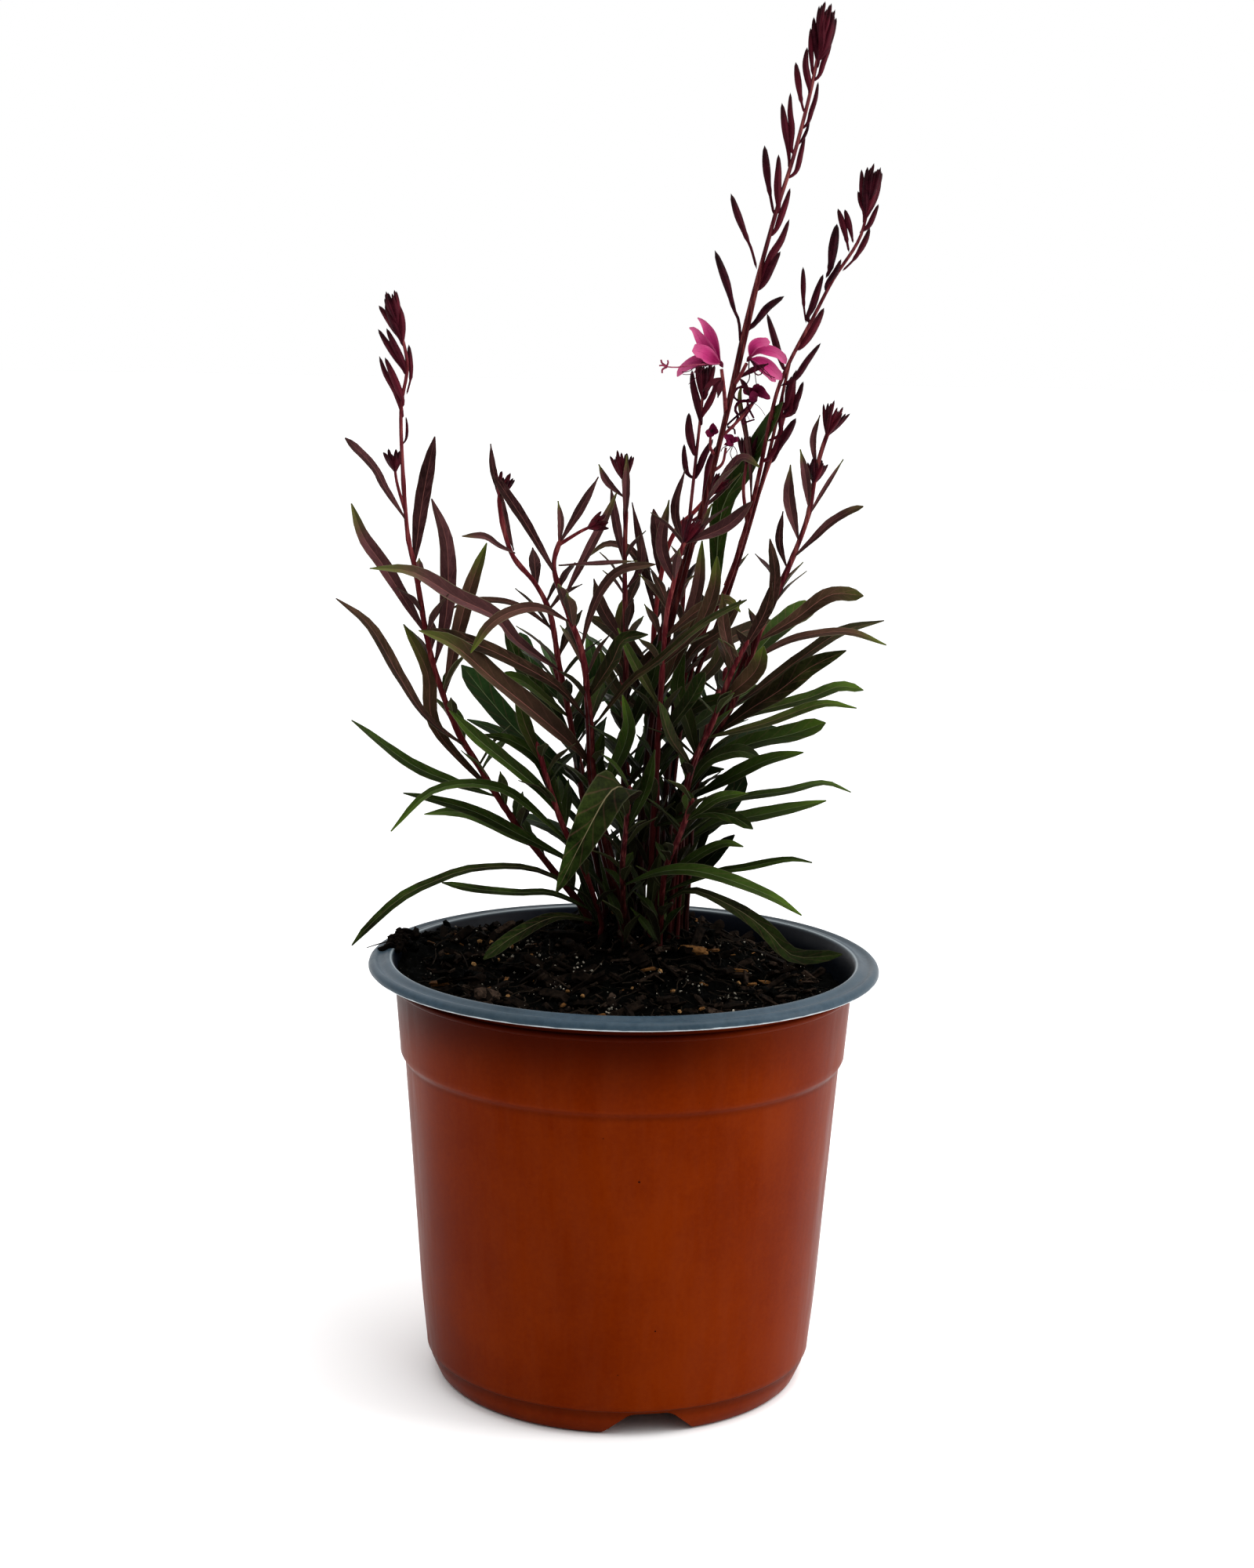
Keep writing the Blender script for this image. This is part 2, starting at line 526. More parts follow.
# The buds of the spikes as they are drawn:
# (half width, depth of the tip from the stem, neck, points from the stem on).
SPIKE_BUDS = {
    "stem_tall_spike": (
        (1.13, 0, 0.37, ((43.5, 384.4), (41.6, 393.2), (40.6, 399.8), (39.9, 406.1))),
        (1.21, -2, 0, ((44.8, 386.8), (44.4, 393.3), (44.5, 398.6), (44.4, 403.4))),
        (1.11, 0, 0.25, ((47.9, 398.4), (47.6, 404.2), (46.3, 411.4), (45, 419.2))),
        (0.89, 2, 0, ((48.4, 405.4), (48.4, 411.4), (47.7, 416.2), (47.6, 422.4))),
        (1.02, 0, 0.29, ((52.2, 416), (50.9, 420.6), (49.9, 426.2), (49, 431.7))),
        (1.02, -1, 0, ((53.8, 423), (53.2, 425.8), (52.1, 431), (52.5, 436.3))),
        (0.85, 0, 0.15, ((54.7, 427), (54.3, 429.6), (53.6, 436.5), (53.4, 442.2))),
        (0.89, 1, 0, ((56.6, 427.8), (57.7, 431.6), (59.3, 435.9), (60, 439))),
        (0.81, 0, 0, ((53.4, 413.2), (54.4, 416.8), (55.6, 420.8), (56.3, 425.9))),
        (0.55, 0, 0, ((51.8, 408.1), (53.1, 410.8), (53.9, 413.9))),
        (0.86, 2, 0, ((50.1, 398.2), (51.5, 404), (52.6, 409.4))),
        (1.01, 1, 0, ((44.2, 380), (45.8, 384.4), (47.4, 389.3), (48.4, 393.1))),
        (1.26, 1, 0, ((39.9, 363.9), (42.9, 371.7), (46, 376.9), (48.4, 383.5))),
        (1.16, -3, 0, ((40.4, 362.7), (42.8, 367.6), (44.4, 370.8), (45.9, 373.4))),
        (1.22, 0, 0.42, ((38.5, 367.5), (36.6, 373.8), (35, 377.3), (31.9, 384.6), (29.6, 391.1))),
        (1.25, 0, 0.45, ((33.9, 343.2), (33.2, 351), (31.4, 355.2), (28.8, 363.5), (24.9, 373.4))),
        (1.25, -2, 0.28, ((33.6, 346.1), (38.5, 350.9), (42.3, 355.8), (47.5, 359.4))),
        (1.06, 0, 0, ((56, 431.5), (55.2, 437.7), (54.5, 441.7), (54.3, 445.5))),
        (0.95, 1, 0, ((56.4, 433.9), (56, 440.1), (55.6, 446.5))),
        (1.17, -3, 0, ((57.1, 434.9), (57.2, 441.3), (57.1, 447.7))),
        (1.06, 0, 0, ((57.6, 435.8), (58.4, 441.3), (58.9, 446.4))),
        (1.17, -1, 0, ((57.6, 434.9), (59.2, 440.6), (60.6, 446.6))),
        (0.97, 2, 0, ((57.9, 434.4), (59.9, 439.7), (61.4, 445.4))),
    ),
    "stem_right_spike": (
        (1.2, -2, 0.33, ((44.7, 306.2), (46.1, 308.4), (47.5, 311.9), (49.8, 316.2), (52.4, 321))),
        (0.95, 2, 0, ((49.2, 322.3), (49.3, 326.5), (49.5, 330.8), (50.6, 334.4))),
        (1.05, -1, 0, ((50.5, 322.6), (50.9, 327.1), (51.2, 331.6), (52, 336.4))),
        (1, -2, 0, ((50.9, 322.6), (52, 325.5), (53.3, 328.7), (54.4, 332.7))),
        (0.8, -2, 0, ((47.4, 315.6), (47.3, 320.1), (47.6, 324.9), (47.8, 330.7))),
        (1.51, 0, 0.2, ((60.5, 365.2), (61.9, 368.5), (62.7, 375.5), (63.6, 382.3))),
        (0.96, 0, 0.28, ((67.7, 373.4), (66.8, 377.3), (65.6, 381.6), (63.7, 387))),
        (0.96, 0, 0.25, ((68.9, 376.3), (68.3, 379), (67.2, 382.8), (65.9, 386.8))),
        (0.7, 0, 0, ((72.5, 385.3), (70.7, 389.2), (69.9, 392.6))),
        (0.81, 1, 0, ((73.6, 381.7), (75.5, 385.9), (76.6, 388.6))),
        (0.91, 1, 0.35, ((65.7, 367.5), (69.5, 371.5), (72.6, 376.9), (74.1, 381.3))),
        (0.91, -2, 0, ((60.8, 363), (63.4, 367), (65.3, 371.3))),
        (1.21, -1, 0, ((55.1, 352.9), (56.5, 356.1), (58.1, 361.5), (59.7, 366.5))),
        (0.88, 0, 0.36, ((54.7, 350.9), (53.7, 357.3), (53.4, 363.9), (53.2, 368.7))),
        (1.26, 1, 0, ((54.1, 344.5), (57.9, 351), (60.3, 356))),
        (1.11, 1, 0, ((51.7, 333.6), (55.5, 339.3), (59.6, 344.9))),
        (1.11, -2, 0, ((48.9, 324.6), (50.5, 330.4), (51.9, 336.1))),
        (1.06, 1, 0, ((50.8, 322.7), (52.6, 327.4), (54, 332.4))),
        (1.16, 1, 0, ((44.6, 308.6), (48.5, 314.9), (51.8, 320.7))),
        (1.11, 4, 0, ((47.3, 338), (44.9, 345.3), (42.1, 353.9))),
        (1, 1, 0, ((72.3, 384.9), (71.3, 392.6), (70.8, 399.3))),
        (1.08, -3, 0, ((72.5, 385.3), (72.4, 392.6), (72.7, 400.1))),
        (1, 0, 0, ((72.8, 385.8), (73.8, 392.6), (74.3, 399.6))),
        (1, -2, 0, ((73, 385.8), (75, 392.6), (75.9, 399.5))),
        (0.91, 2, 0, ((73.3, 385.4), (75.9, 391.9), (77.1, 398.8))),
    ),
    "stem_left_spike": (
        (1.06, 0, 0, ((-74.6, 320.2), (-76.6, 326.9), (-80, 332.8), (-82, 338.3))),
        (1.06, -2, 0, ((-74.4, 324), (-75.2, 326.4), (-77.6, 332.2), (-80.2, 337.9))),
        (1.01, 0, 0, ((-73.9, 333.9), (-75.7, 336.8), (-79.6, 342.4), (-82.4, 346.8))),
        (1.01, -2, 0, ((-73.7, 334.4), (-74.7, 336.9), (-77.3, 342.1), (-79.7, 347.1))),
        (0.86, 0, 0.35, ((-73.2, 326), (-71.8, 332), (-72.1, 337.2), (-72.5, 342.1))),
        (1.11, 1, 0, ((-75.2, 344.2), (-78.7, 349.6), (-82.2, 354.2))),
        (1.06, -2, 0, ((-75, 343.8), (-78, 350.1), (-80.2, 354.5))),
        (1.11, 0, 0, ((-74.7, 344.2), (-77, 352.3), (-78.1, 356.6))),
        (1.01, -1, 0, ((-74.5, 344.3), (-74.9, 350.6), (-76.2, 355.3))),
        (0.5, 0, 0, ((-73.3, 312.1), (-73, 315.8), (-73.4, 319.3))),
    ),
    "stem_bud_spike": (
        (1.21, 0, 0, ((21.7, 319.4), (20.3, 325.6), (18.9, 331), (18.5, 335.7))),
        (1.11, -1, 0, ((23, 328.1), (21.9, 333.1), (21.3, 336.5))),
        (1.11, 0, 0, ((23.2, 329.1), (24.6, 333.6), (25.8, 337.3))),
        (1.06, 0, 0, ((22.6, 322.2), (25, 326.9), (26.7, 331.9))),
        (1.26, 0, 0, ((19.4, 310.2), (18, 316.1), (17.8, 322.1))),
        (1.01, 0, 0, ((17.5, 303.1), (16.6, 308.1), (16.5, 312.1))),
        (1.06, 0, 0, ((21, 302.7), (22.9, 308.2), (25.8, 313.8))),
        (1.39, 1, 0, ((22.8, 289.4), (24.2, 298.2), (24.7, 305.8), (27.4, 312.3))),
    ),
}

GREEN_SHOOTS = ("shoot_back_left", "shoot_back_right", "shoot_back")

# The spikes, with the radius of their stems at the end.
SPIKES = {"stem_tall_spike": 0.55, "stem_right_spike": 0.5, "stem_bud_spike": 0.5, "stem_left_spike": 0.5}

# Leaves that are drawn further forward than the solids have room for: (stem, height): (lean, bulge).
FORWARD = {("stem_right_spike", 258): (-13, 12), ("stem_left_tuft", 237): (-50, 0)}

# Half widths of a blade along its length, as shares of the widest.
LONG_BLADE = ((0.08, 0.24), (0.34, 0.78), (0.6, 1.0), (0.85, 0.6))
SHORT_BLADE = ((0.14, 0.4), (0.5, 1.0), (0.82, 0.62))
SMALL_BLADE = ((0.2, 0.5), (0.62, 1.0))
PETAL_BLADE = ((0.15, 0.22), (0.45, 0.72), (0.75, 1.0))
DRAWN_BLADE = ((0.08, 0.3), (0.32, 0.86), (0.56, 1.0), (0.8, 0.8), (0.93, 0.42))
BENT_BLADE = ((0.06, 0.3), (0.18, 0.8), (0.3, 1.0), (0.5, 0.95), (0.7, 0.72), (0.86, 0.42), (0.95, 0.2))
BLUNT_BLADE = ((0.08, 0.26), (0.32, 0.74), (0.6, 1.0), (0.82, 0.96), (0.95, 0.6))


def unit(v: np.ndarray) -> np.ndarray:
    """The vectors of the last axis at length 1."""
    return v / np.maximum(np.linalg.norm(v, axis=-1, keepdims=True), 1e-9)


def seeded(seed: int) -> Draw:
    """Park and Miller's minimal random numbers, from 0 to 1.

    Args:
        seed: The first state, above 0.

    Returns:
        A function that draws the next number.
    """
    state = seed

    def draw() -> float:
        """The next number.

        Returns:
            A number from 0 to 1.
        """
        nonlocal state
        state = (state * 16807) % 2147483647
        return state / 2147483647

    return draw


def seen(x: float, z: float, y: float) -> np.ndarray:
    """The point at depth y that the front view shows at (x, z) of the axis plane."""
    scale = (y - EYE[1]) / -EYE[1]
    return np.array([x * scale, y, EYE[2] + (z - EYE[2]) * scale])


def seen_height(p: np.ndarray) -> np.ndarray:
    """The heights of points as the front view shows them."""
    return EYE[2] + (p[..., 2] - EYE[2]) * -EYE[1] / (p[..., 1] - EYE[1])


class Course:
    """A smooth course through points, measured by the share s of its length."""

    def __init__(self, points: Sequence[np.ndarray], steps: int = 40) -> None:
        """Draws a Catmull-Rom spline through the points.

        Args:
            points: The points that it passes, in millimetres.
            steps: Straight runs that it is measured in.
        """
        p = np.array(points, float)
        padded = np.vstack([2 * p[0] - p[1], p, 2 * p[-1] - p[-2]])
        place = np.linspace(0, len(p) - 1, steps + 1)
        i = np.minimum(place.astype(int), len(p) - 2)
        w = (place - i)[:, None]
        a, b, c, d = padded[i], padded[i + 1], padded[i + 2], padded[i + 3]
        out, into = 0.5 * (c - a), 0.5 * (d - b)
        self.dots = b + out * w + (3 * (c - b) - 2 * out - into) * w**2 + (2 * (b - c) + out + into) * w**3
        gaps = np.linalg.norm(np.diff(self.dots, axis=0), axis=1)
        self.run = np.concatenate(([0.0], np.cumsum(gaps)))
        self.length = float(self.run[-1])

    def at(self, s: np.ndarray | float) -> np.ndarray:
        """The points at shares s."""
        want = np.clip(s, 0, 1) * self.length
        return np.stack([np.interp(want, self.run, self.dots[:, k]) for k in range(3)], axis=-1)

    def heading(self, s: np.ndarray | float) -> np.ndarray:
        """The directions at shares s."""
        s = np.asarray(s, float)
        return unit(self.at(s + 0.02) - self.at(s - 0.02))

    def stand(self, s: float) -> tuple[np.ndarray, ...]:
        """The point at share s, and the directions along, across and over the course there.

        Args:
            s: The share of its length.

        Returns:
            The point and the three directions.
        """
        along = self.heading(min(s, 0.98))
        across = unit(np.cross(along, BACK))
        return self.at(s), along, across, unit(np.cross(across, along))


@dataclass
class Blade:
    """A leaf, sepal or petal that lies along a course."""

    way: Course
    half: float
    facing: np.ndarray
    profile: Profile

    @property
    def broad(self) -> bool:
        """Whether it is the broad folded leaf in front."""
        return self.half > BROAD_HALF

    def dots(self) -> list[tuple[np.ndarray, float]]:
        """Points with a radius, about 2 mm apart along it and across it.

        Returns:
            Each point with its radius.
        """
        found = []
        steps = math.ceil(self.way.length / 2.1)
        marks = np.array([(0.0, 0.05), *self.profile, (1.0, 0.0)])
        for i in range(1, steps + 1):
            s = i / steps
            if s * self.way.length < 3:
                continue
            reach = max(self.half * np.interp(s, marks[:, 0], marks[:, 1]), DOT)
            across = unit(np.cross(self.way.heading(s), self.facing))
            rows = math.ceil(reach / 1.1)
            for j in range(-rows, rows + 1):
                found.append((self.way.at(s) + across * (reach * j / rows), DOT))
        return found


@dataclass
class Bulk:
    """A bud or a bract that lies along a course."""

    way: Course
    thick: float
    neck: float = 0.0


@dataclass
class Stem:
    """A stem with all that grows on it."""

    row: StemRow
    way: Course
    leaves: list[Blade] = field(default_factory=list)
    buds: list[Bulk] = field(default_factory=list)
    twigs: list[tuple[Course, float]] = field(default_factory=list)
    sepals: list[Blade] = field(default_factory=list)

    @property
    def node(self) -> str:
        """The solid that its pieces stand for."""
        return self.row.node

    def share_of_height(self, z: float) -> float:
        """The share of the length at which the front view shows height z.

        Args:
            z: The height.

        Returns:
            The share, or 1 where the stem stays lower.
        """
        shares = np.arange(0, 1, 0.002)
        high = np.nonzero(seen_height(self.way.at(shares)) >= z)[0]
        return float(shares[high[0]]) if len(high) else 1.0

    def axis(self, s: float) -> np.ndarray:
        """The point of the axis at share s, on the straight run between two rings of the rod.

        Args:
            s: The share of its length.

        Returns:
            The point, in millimetres.
        """
        rings = math.ceil(self.way.length / ROD_STEP)
        i = min(int(s / 0.985 * rings), rings - 1)
        low, high = 0.985 * i / rings, 0.985 * (i + 1) / rings
        share = min((s - low) / (high - low), 1)
        return self.way.at(low) * (1 - share) + self.way.at(high) * share

    def axis_at_height(self, z: float) -> np.ndarray:
        """The point of the axis that the front view shows at height z."""
        return self.axis(self.share_of_height(z))


@dataclass
class Bloom:
    """A bloom's place: its heart, petals and stamens."""

    row: BloomRow
    core: np.ndarray
    petals: list[Blade]
    stamens: list[Course]


@dataclass(frozen=True)
class Ground:
    """The soil's upper surface: a mound round the crown, heaped up at the left.

    Heights and radii are in millimetres.
    """

    edge: float = 133.5
    rise: float = 18.0
    crest: tuple[float, float] = (6.0, 32.0)
    spread: float = 46.0
    reach: float = 72.0
    heap: tuple[float, float] = (-60.0, 24.0)
    heap_rise: float = 7.0
    heap_spread: float = 25.0

    def height(self, x: np.ndarray | float, y: np.ndarray | float) -> np.ndarray | float:
        """The height over the ground at x, y.

        Args:
            x: The place to the right.
            y: The place to the back.

        Returns:
            The height, in millimetres.
        """
        far = np.hypot(x - self.crest[0], y - self.crest[1]) / self.spread
        rim = np.minimum(np.hypot(x, y) / self.reach, 1)
        crumbs = (
            0.5 * np.sin(0.41 * x + 1.3) * np.cos(0.37 * y - 0.4)
            + 0.35 * np.sin(0.83 * x - 0.6 * y)
            + 0.25 * np.cos(1.21 * y + 0.5 * x)
        )
        mound = self.rise * np.exp(-far * far) * (1 - rim**4)
        aside = np.hypot(x - self.heap[0], y - self.heap[1]) / self.heap_spread
        heap = self.heap_rise * np.exp(-aside * aside)
        return self.edge - 2 * x / self.reach + mound + heap + crumbs


GROUND = Ground()


class Growth:
    """Places every leaf, bud and petal clear of the other stems, by the rules of the solids."""

    room = 60000
    soil_depth = 22.0
    margin = 5.0
    small_leaves = 16
    depth_tries = (0, 6, -6, 12, -12, 18, -18, 25, -25, 32, -32, 40, -40)
    bulge_tries = (0, -5, 5, -10, 10)
    turn_tries = (0, 24, -24, 48, -48, 72, -72, 100, -100)

    def __init__(self) -> None:
        """Grows the stems, then what stands on them."""
        self.clear = CLEAR
        self.taken = np.zeros((self.room, 4))
        self.owners = np.zeros(self.room, int)
        self.count = 0
        self.names = {row.node: i for i, row in enumerate((*STEMS, *BLOOMS))}
        self.stems = [self.grow_stem(row) for row in STEMS]
        for stem in self.stems:
            self.grow_buds(stem)
        self.blooms = [self.grow_bloom(row) for row in BLOOMS]
        for stem in self.stems:
            self.grow_sepals(stem)
        forward = []
        for stem in self.stems:
            for row in stem.row.leaves:
                leaf = self.hand_leaf(stem, row)
                self.keep_leaf(stem, leaf)
                if leaf is not None and (stem.node, row[0]) in FORWARD:
                    forward.append((stem, row, leaf))
        for number, stem in enumerate(self.stems):
            self.grow_filling(stem, number)
        self.clear = SMALL_CLEAR
        for node, row in MORE_LEAVES:
            stem = self.stems[self.names[node]]
            self.keep_leaf(stem, self.hand_leaf(stem, row))
        for number, stem in enumerate(self.stems):
            self.grow_small(stem, number)
        for stem, row, leaf in forward:
            leaf.way = self.leaf_way(stem, row, *FORWARD[stem.node, row[0]])

    def take(self, owner: str, dots: list[tuple[np.ndarray, float]]) -> None:
        """Marks the room of dots as the owner's.

        Args:
            owner: The node that owns them.
            dots: Points with a radius.
        """
        for p, r in dots:
            self.taken[self.count] = (*p, r)
            self.owners[self.count] = self.names[owner]
            self.count += 1

    def is_free(self, owner: str, dots: list[tuple[np.ndarray, float]]) -> bool:
        """Whether dots stay off the soil, off the rim, inside the reach and off other stems.

        Args:
            owner: The node that owns them.
            dots: Points with a radius.

        Returns:
            True where they have room.
        """
        p = np.array([dot for dot, _ in dots])
        r = np.array([radius for _, radius in dots])
        inside = np.hypot(p[:, 0], p[:, 1]) < MOUTH_RADIUS - WALL_GAP
        ground = np.where(inside, GROUND.height(p[:, 0], p[:, 1]), POT_HEIGHT) + SOIL_GAP
        if np.any((p[:, 2] < ground + r) & (p[:, 2] > ground - self.soil_depth)):
            return False
        if np.any(np.abs(p[:, 0]) > LEAF_REACH + 1) or np.any(np.abs(p[:, 1]) > LEAF_REACH - WALL_GAP):
            return False
        others, owners = self.taken[: self.count], self.owners[: self.count]
        low, high = p.min(0) - self.margin, p.max(0) + self.margin
        near = (owners != self.names[owner]) & np.all((others[:, :3] > low) & (others[:, :3] < high), axis=1)
        others = others[near]
        if not len(others):
            return True
        far = np.linalg.norm(p[:, None] - others[None, :, :3], axis=2)
        return bool(np.all(far >= self.clear + r[:, None] + others[None, :, 3]))

    def take_rod(self, owner: str, way: Course, radius: float, start: float = 0.0) -> None:
        """Marks the room of a rod as the owner's, from a share of its length on."""
        steps = math.ceil(way.length / ROD_DOTS)
        self.take(owner, [(way.at(i / steps), radius) for i in range(steps + 1) if i / steps >= start])

    def grow_stem(self, row: StemRow) -> Stem:
        """A stem's course, upright through the soil and then through its points.

        Args:
            row: The stem's row.

        Returns:
            The stem, bare so far.
        """
        x, y = row.root
        ground = float(GROUND.height(x, y))
        buried = [np.array([x, y, ground + z]) for z in (-ROOT_DEPTH, -ROOT_DEPTH / 2, 0, 5)]
        stem = Stem(row, Course([*buried, *(seen(px, pz, py) for px, pz, py in row.path)], 120))
        self.take_rod(row.node, stem.way, row.radius)
        return stem

    @staticmethod
    def tuft(way: Course, s: float, count: int, long: float, spread: float) -> list[Course]:
        """Courses of the buds round a stem's end, spread by the golden angle.

        Args:
            way: The stem's course.
            s: The share of its length where the tuft stands.
            count: How many buds it has.
            long: The length of the longest.
            spread: How far the outer ones open, in degrees.

        Returns:
            A course for each bud.
        """
        root, along, across, over = way.stand(s)
        found = []
        for i in range(count):
            turn = math.radians(GOLDEN_ANGLE * i)
            wide = math.radians(spread * math.sqrt((i + 0.3) / count))
            aim = along * math.cos(wide) + math.sin(wide) * (across * math.cos(turn) + over * math.sin(turn))
            reach = long * (1 - 0.3 * ((i * 0.37) % 1))
            start = root - along * (long * 0.22 * (i / count))
            found.append(Course([start, start + aim * (reach * 0.5), start + aim * reach], 8))
        return found

    def grow_buds(self, stem: Stem) -> None:
        """Adds a stem's twigs, single buds and tufts.

        Args:
            stem: The stem.
        """
        for z, radius, points, count, long in stem.row.twigs:
            root = stem.axis_at_height(z)
            way = Course([root, *(seen(x, h, y) for x, h, y in points)], 24)
            stem.twigs.append((way, radius))
            self.take_rod(stem.node, way, radius)
            for one in self.tuft(way, 0.96, count, long, 24):
                self.take_rod(stem.node, one, 1.0, BUD_START)
            if count and (stem.node, count) != ("stem_right_spike", 5):
                stem.buds += self.cup(way, 0.97, long)
        for z, x, h, y, thick in stem.row.buds:
            root, tip = stem.axis_at_height(z), seen(x, h, y)
            elbow = (root + tip) / 2 - 0.8 * stem.way.heading(0.9)
            self.take_rod(stem.node, Course([root, elbow, tip], 12), thick, BUD_START)
        for z, count, long, spread in stem.row.tufts:
            share = stem.share_of_height(z)
            for one in self.tuft(stem.way, share, count, long, spread):
                self.take_rod(stem.node, one, 1.1, BUD_START)
            stretch, wide = (1, 17) if stem.node in SPIKES else (1.15, 38)
            stem.buds += self.cup(stem.way, share, long * stretch, wide)
        stem.buds += self.spike_buds(stem, SPIKE_BUDS.get(stem.node, ()))

    @staticmethod
    def cup(way: Course, s: float, long: float, wide: float = 36) -> list[Bulk]:
        """A tuft as it is drawn: pointed bracts that open like a cup.

        Args:
            way: The stem's or the twig's course.
            s: The share of its length where the tuft stands.
            long: How far the tuft reaches beyond there.
            wide: How far its outer bracts lean out, in degrees.

        Returns:
            Each bract with its course and thickness.
        """
        root, along, across, over = way.stand(s)
        draw = seeded(Seed.CUPS.value + int(1000 * s) + int(10 * long))
        found = []
        for i in range(BRACTS):
            out = math.sqrt((i + 0.3) / BRACTS)
            turn = math.radians(GOLDEN_ANGLE * i)
            side = across * math.cos(turn) + over * math.sin(turn)
            lean = math.radians(wide * (0.12 + 0.88 * out))
            start = root - along * (0.25 * long * out)
            aim = along * math.cos(lean) + side * math.sin(lean)
            tip = root + aim * (long * (1.1 - 0.25 * draw()))
            elbow = root + aim * (0.5 * long) + side * (0.06 * long)
            found.append(Bulk(Course([start, elbow, tip], 10), 0.8 - 0.15 * out))
        return found

    @staticmethod
    def spike_buds(stem: Stem, rows: Rows) -> list[Bulk]:
        """The buds of a spike as they are drawn, each at the depth of its stem plus its lean.

        Args:
            stem: The stem.
            rows: A row for each bud.

        Returns:
            Each bud with its course, thickness and neck.
        """
        found = []
        for thick, lean, neck, points in rows:
            depth = stem.axis_at_height(points[0][1])[1]
            last = len(points) - 1
            places = [seen(x, z, depth + lean * i / last) for i, (x, z) in enumerate(points)]
            if not neck:
                places.insert(0, stem.axis_at_height(points[0][1] - 2.5))
            found.append(Bulk(Course(places, 16), thick, neck))
        return found

    def grow_bloom(self, row: BloomRow) -> Bloom:
        """A bloom beyond the end of its twig on the tall stem.

        Args:
            row: The bloom's row.

        Returns:
            The bloom.
        """
        twig, _ = self.stems[0].twigs[row.twig]
        core = twig.at(1) + twig.heading(1) * (row.core + 0.3)
        facing = unit(EYE - core) + UP * 0.35
        petals = []
        for x, z, y, wide in row.petals:
            tip = seen(x, z, y)
            way = Course([core, (core + tip) / 2 + UP * 1.2, tip], 16)
            petals.append(Blade(way, wide / 2, facing, PETAL_BLADE))
        stamens = []
        for x, z, y in row.stamens:
            tip = seen(x, z, y)
            stamens.append(Course([core, core * 0.45 + tip * 0.55 - UP * 1.2, tip], 12))
        for petal in petals:
            self.take(row.node, petal.dots())
        for stamen in stamens:
            self.take_rod(row.node, stamen, 0.5)
        self.take(row.node, [(core, row.core)])
        return Bloom(row, core, petals, stamens)

    def grow_sepals(self, stem: Stem) -> None:
        """Adds the sepals that are folded back under the blooms.

        Args:
            stem: The stem.
        """
        for twig, share, x, z, y in stem.row.sepals:
            near, tip = stem.twigs[twig][0].at(share), seen(x, z, y)
            way = Course([near, near * 0.55 + tip * 0.45 + UP * 0.6, tip], 12)
            sepal = Blade(way, 1.0, unit(EYE - near), SHORT_BLADE)
            stem.sepals.append(sepal)
            self.take(stem.node, sepal.dots())

    @staticmethod
    def leaf_way(stem: Stem, row: tuple, lean: float, bulge: float) -> Course:
        """The course of a leaf whose points keep their place in the view.

        Args:
            stem: Its stem.
            row: Its height on the stem, lean, width and points.
            lean: How much deeper than its root its tip lies.
            bulge: How far its middle lies behind that.

        Returns:
            The course, from the stem's axis to the tip.
        """
        root = stem.axis_at_height(row[0])
        points = row[3]
        scale = (root[1] - EYE[1]) / -EYE[1]
        flat = np.array([(root[0] / scale, EYE[2] + (root[2] - EYE[2]) / scale), *(p[:2] for p in points)])
        run = np.concatenate(([0.0], np.cumsum(np.linalg.norm(np.diff(flat, axis=0), axis=1))))
        own = points[-1][2] if len(points[-1]) > 2 else None
        places = [root]
        for point, s in zip(points, run[1:] / run[-1]):
            depth = point[2] * lean / own if own else lean * s
            places.append(seen(point[0], point[1], root[1] + depth + 4 * bulge * s * (1 - s)))
        return Course(places)

    def hand_leaf(self, stem: Stem, row: tuple) -> Blade | None:
        """A leaf whose points keep their place in the view, at the first depth that is free.

        Args:
            stem: The stem.
            row: Its height on the stem, lean, width and points.

        Returns:
            The leaf, or None where there is no room.
        """
        z, lean, wide, points = row
        root = stem.axis_at_height(z)
        roll = math.radians(LEAF_ROLL)
        facing = unit(EYE - root) * math.cos(roll) + UP * math.sin(roll)
        profile = LONG_BLADE if len(points) > 2 or wide > 4 else SHORT_BLADE
        for bulge in self.bulge_tries:
            for more in self.depth_tries:
                way = self.leaf_way(stem, row, lean + more, bulge)
                leaf = Blade(way, wide / 2 / math.cos(roll / 2), facing, profile)
                if self.is_free(stem.node, leaf.dots()):
                    return leaf
        return None

    def filling_leaf(self, owner: str, root: np.ndarray, aim: tuple, wide: float) -> Blade | None:
        """A leaf that rises from the stem and droops, at the first turn that is free.

        Args:
            owner: The stem's node.
            root: Where it leaves the stem.
            aim: Its turn round the stem and its rise, in degrees, and its length.
            wide: Its width.

        Returns:
            The leaf, or None where there is no room.
        """
        turn, rise, long = aim
        for more in self.turn_tries:
            for lift in (0, 14):
                around, up = math.radians(turn + more), math.radians(rise + lift)
                flat = math.cos(up)
                out = np.array([math.cos(around) * flat, math.sin(around) * flat, math.sin(up)])
                places = [root + out * (long * t) - UP * (0.22 * long * t * t) for t in (0, 0.5, 1)]
                leaf = Blade(Course(places), wide / 2, UP, SMALL_BLADE)
                if self.is_free(owner, leaf.dots()):
                    return leaf
        return None

    def keep_leaf(self, stem: Stem, leaf: Blade | None) -> None:
        """Adds a leaf that found room to its stem.

        Args:
            stem: The stem.
            leaf: The leaf, or None.
        """
        if leaf is not None:
            stem.leaves.append(leaf)
            self.take(stem.node, leaf.dots())

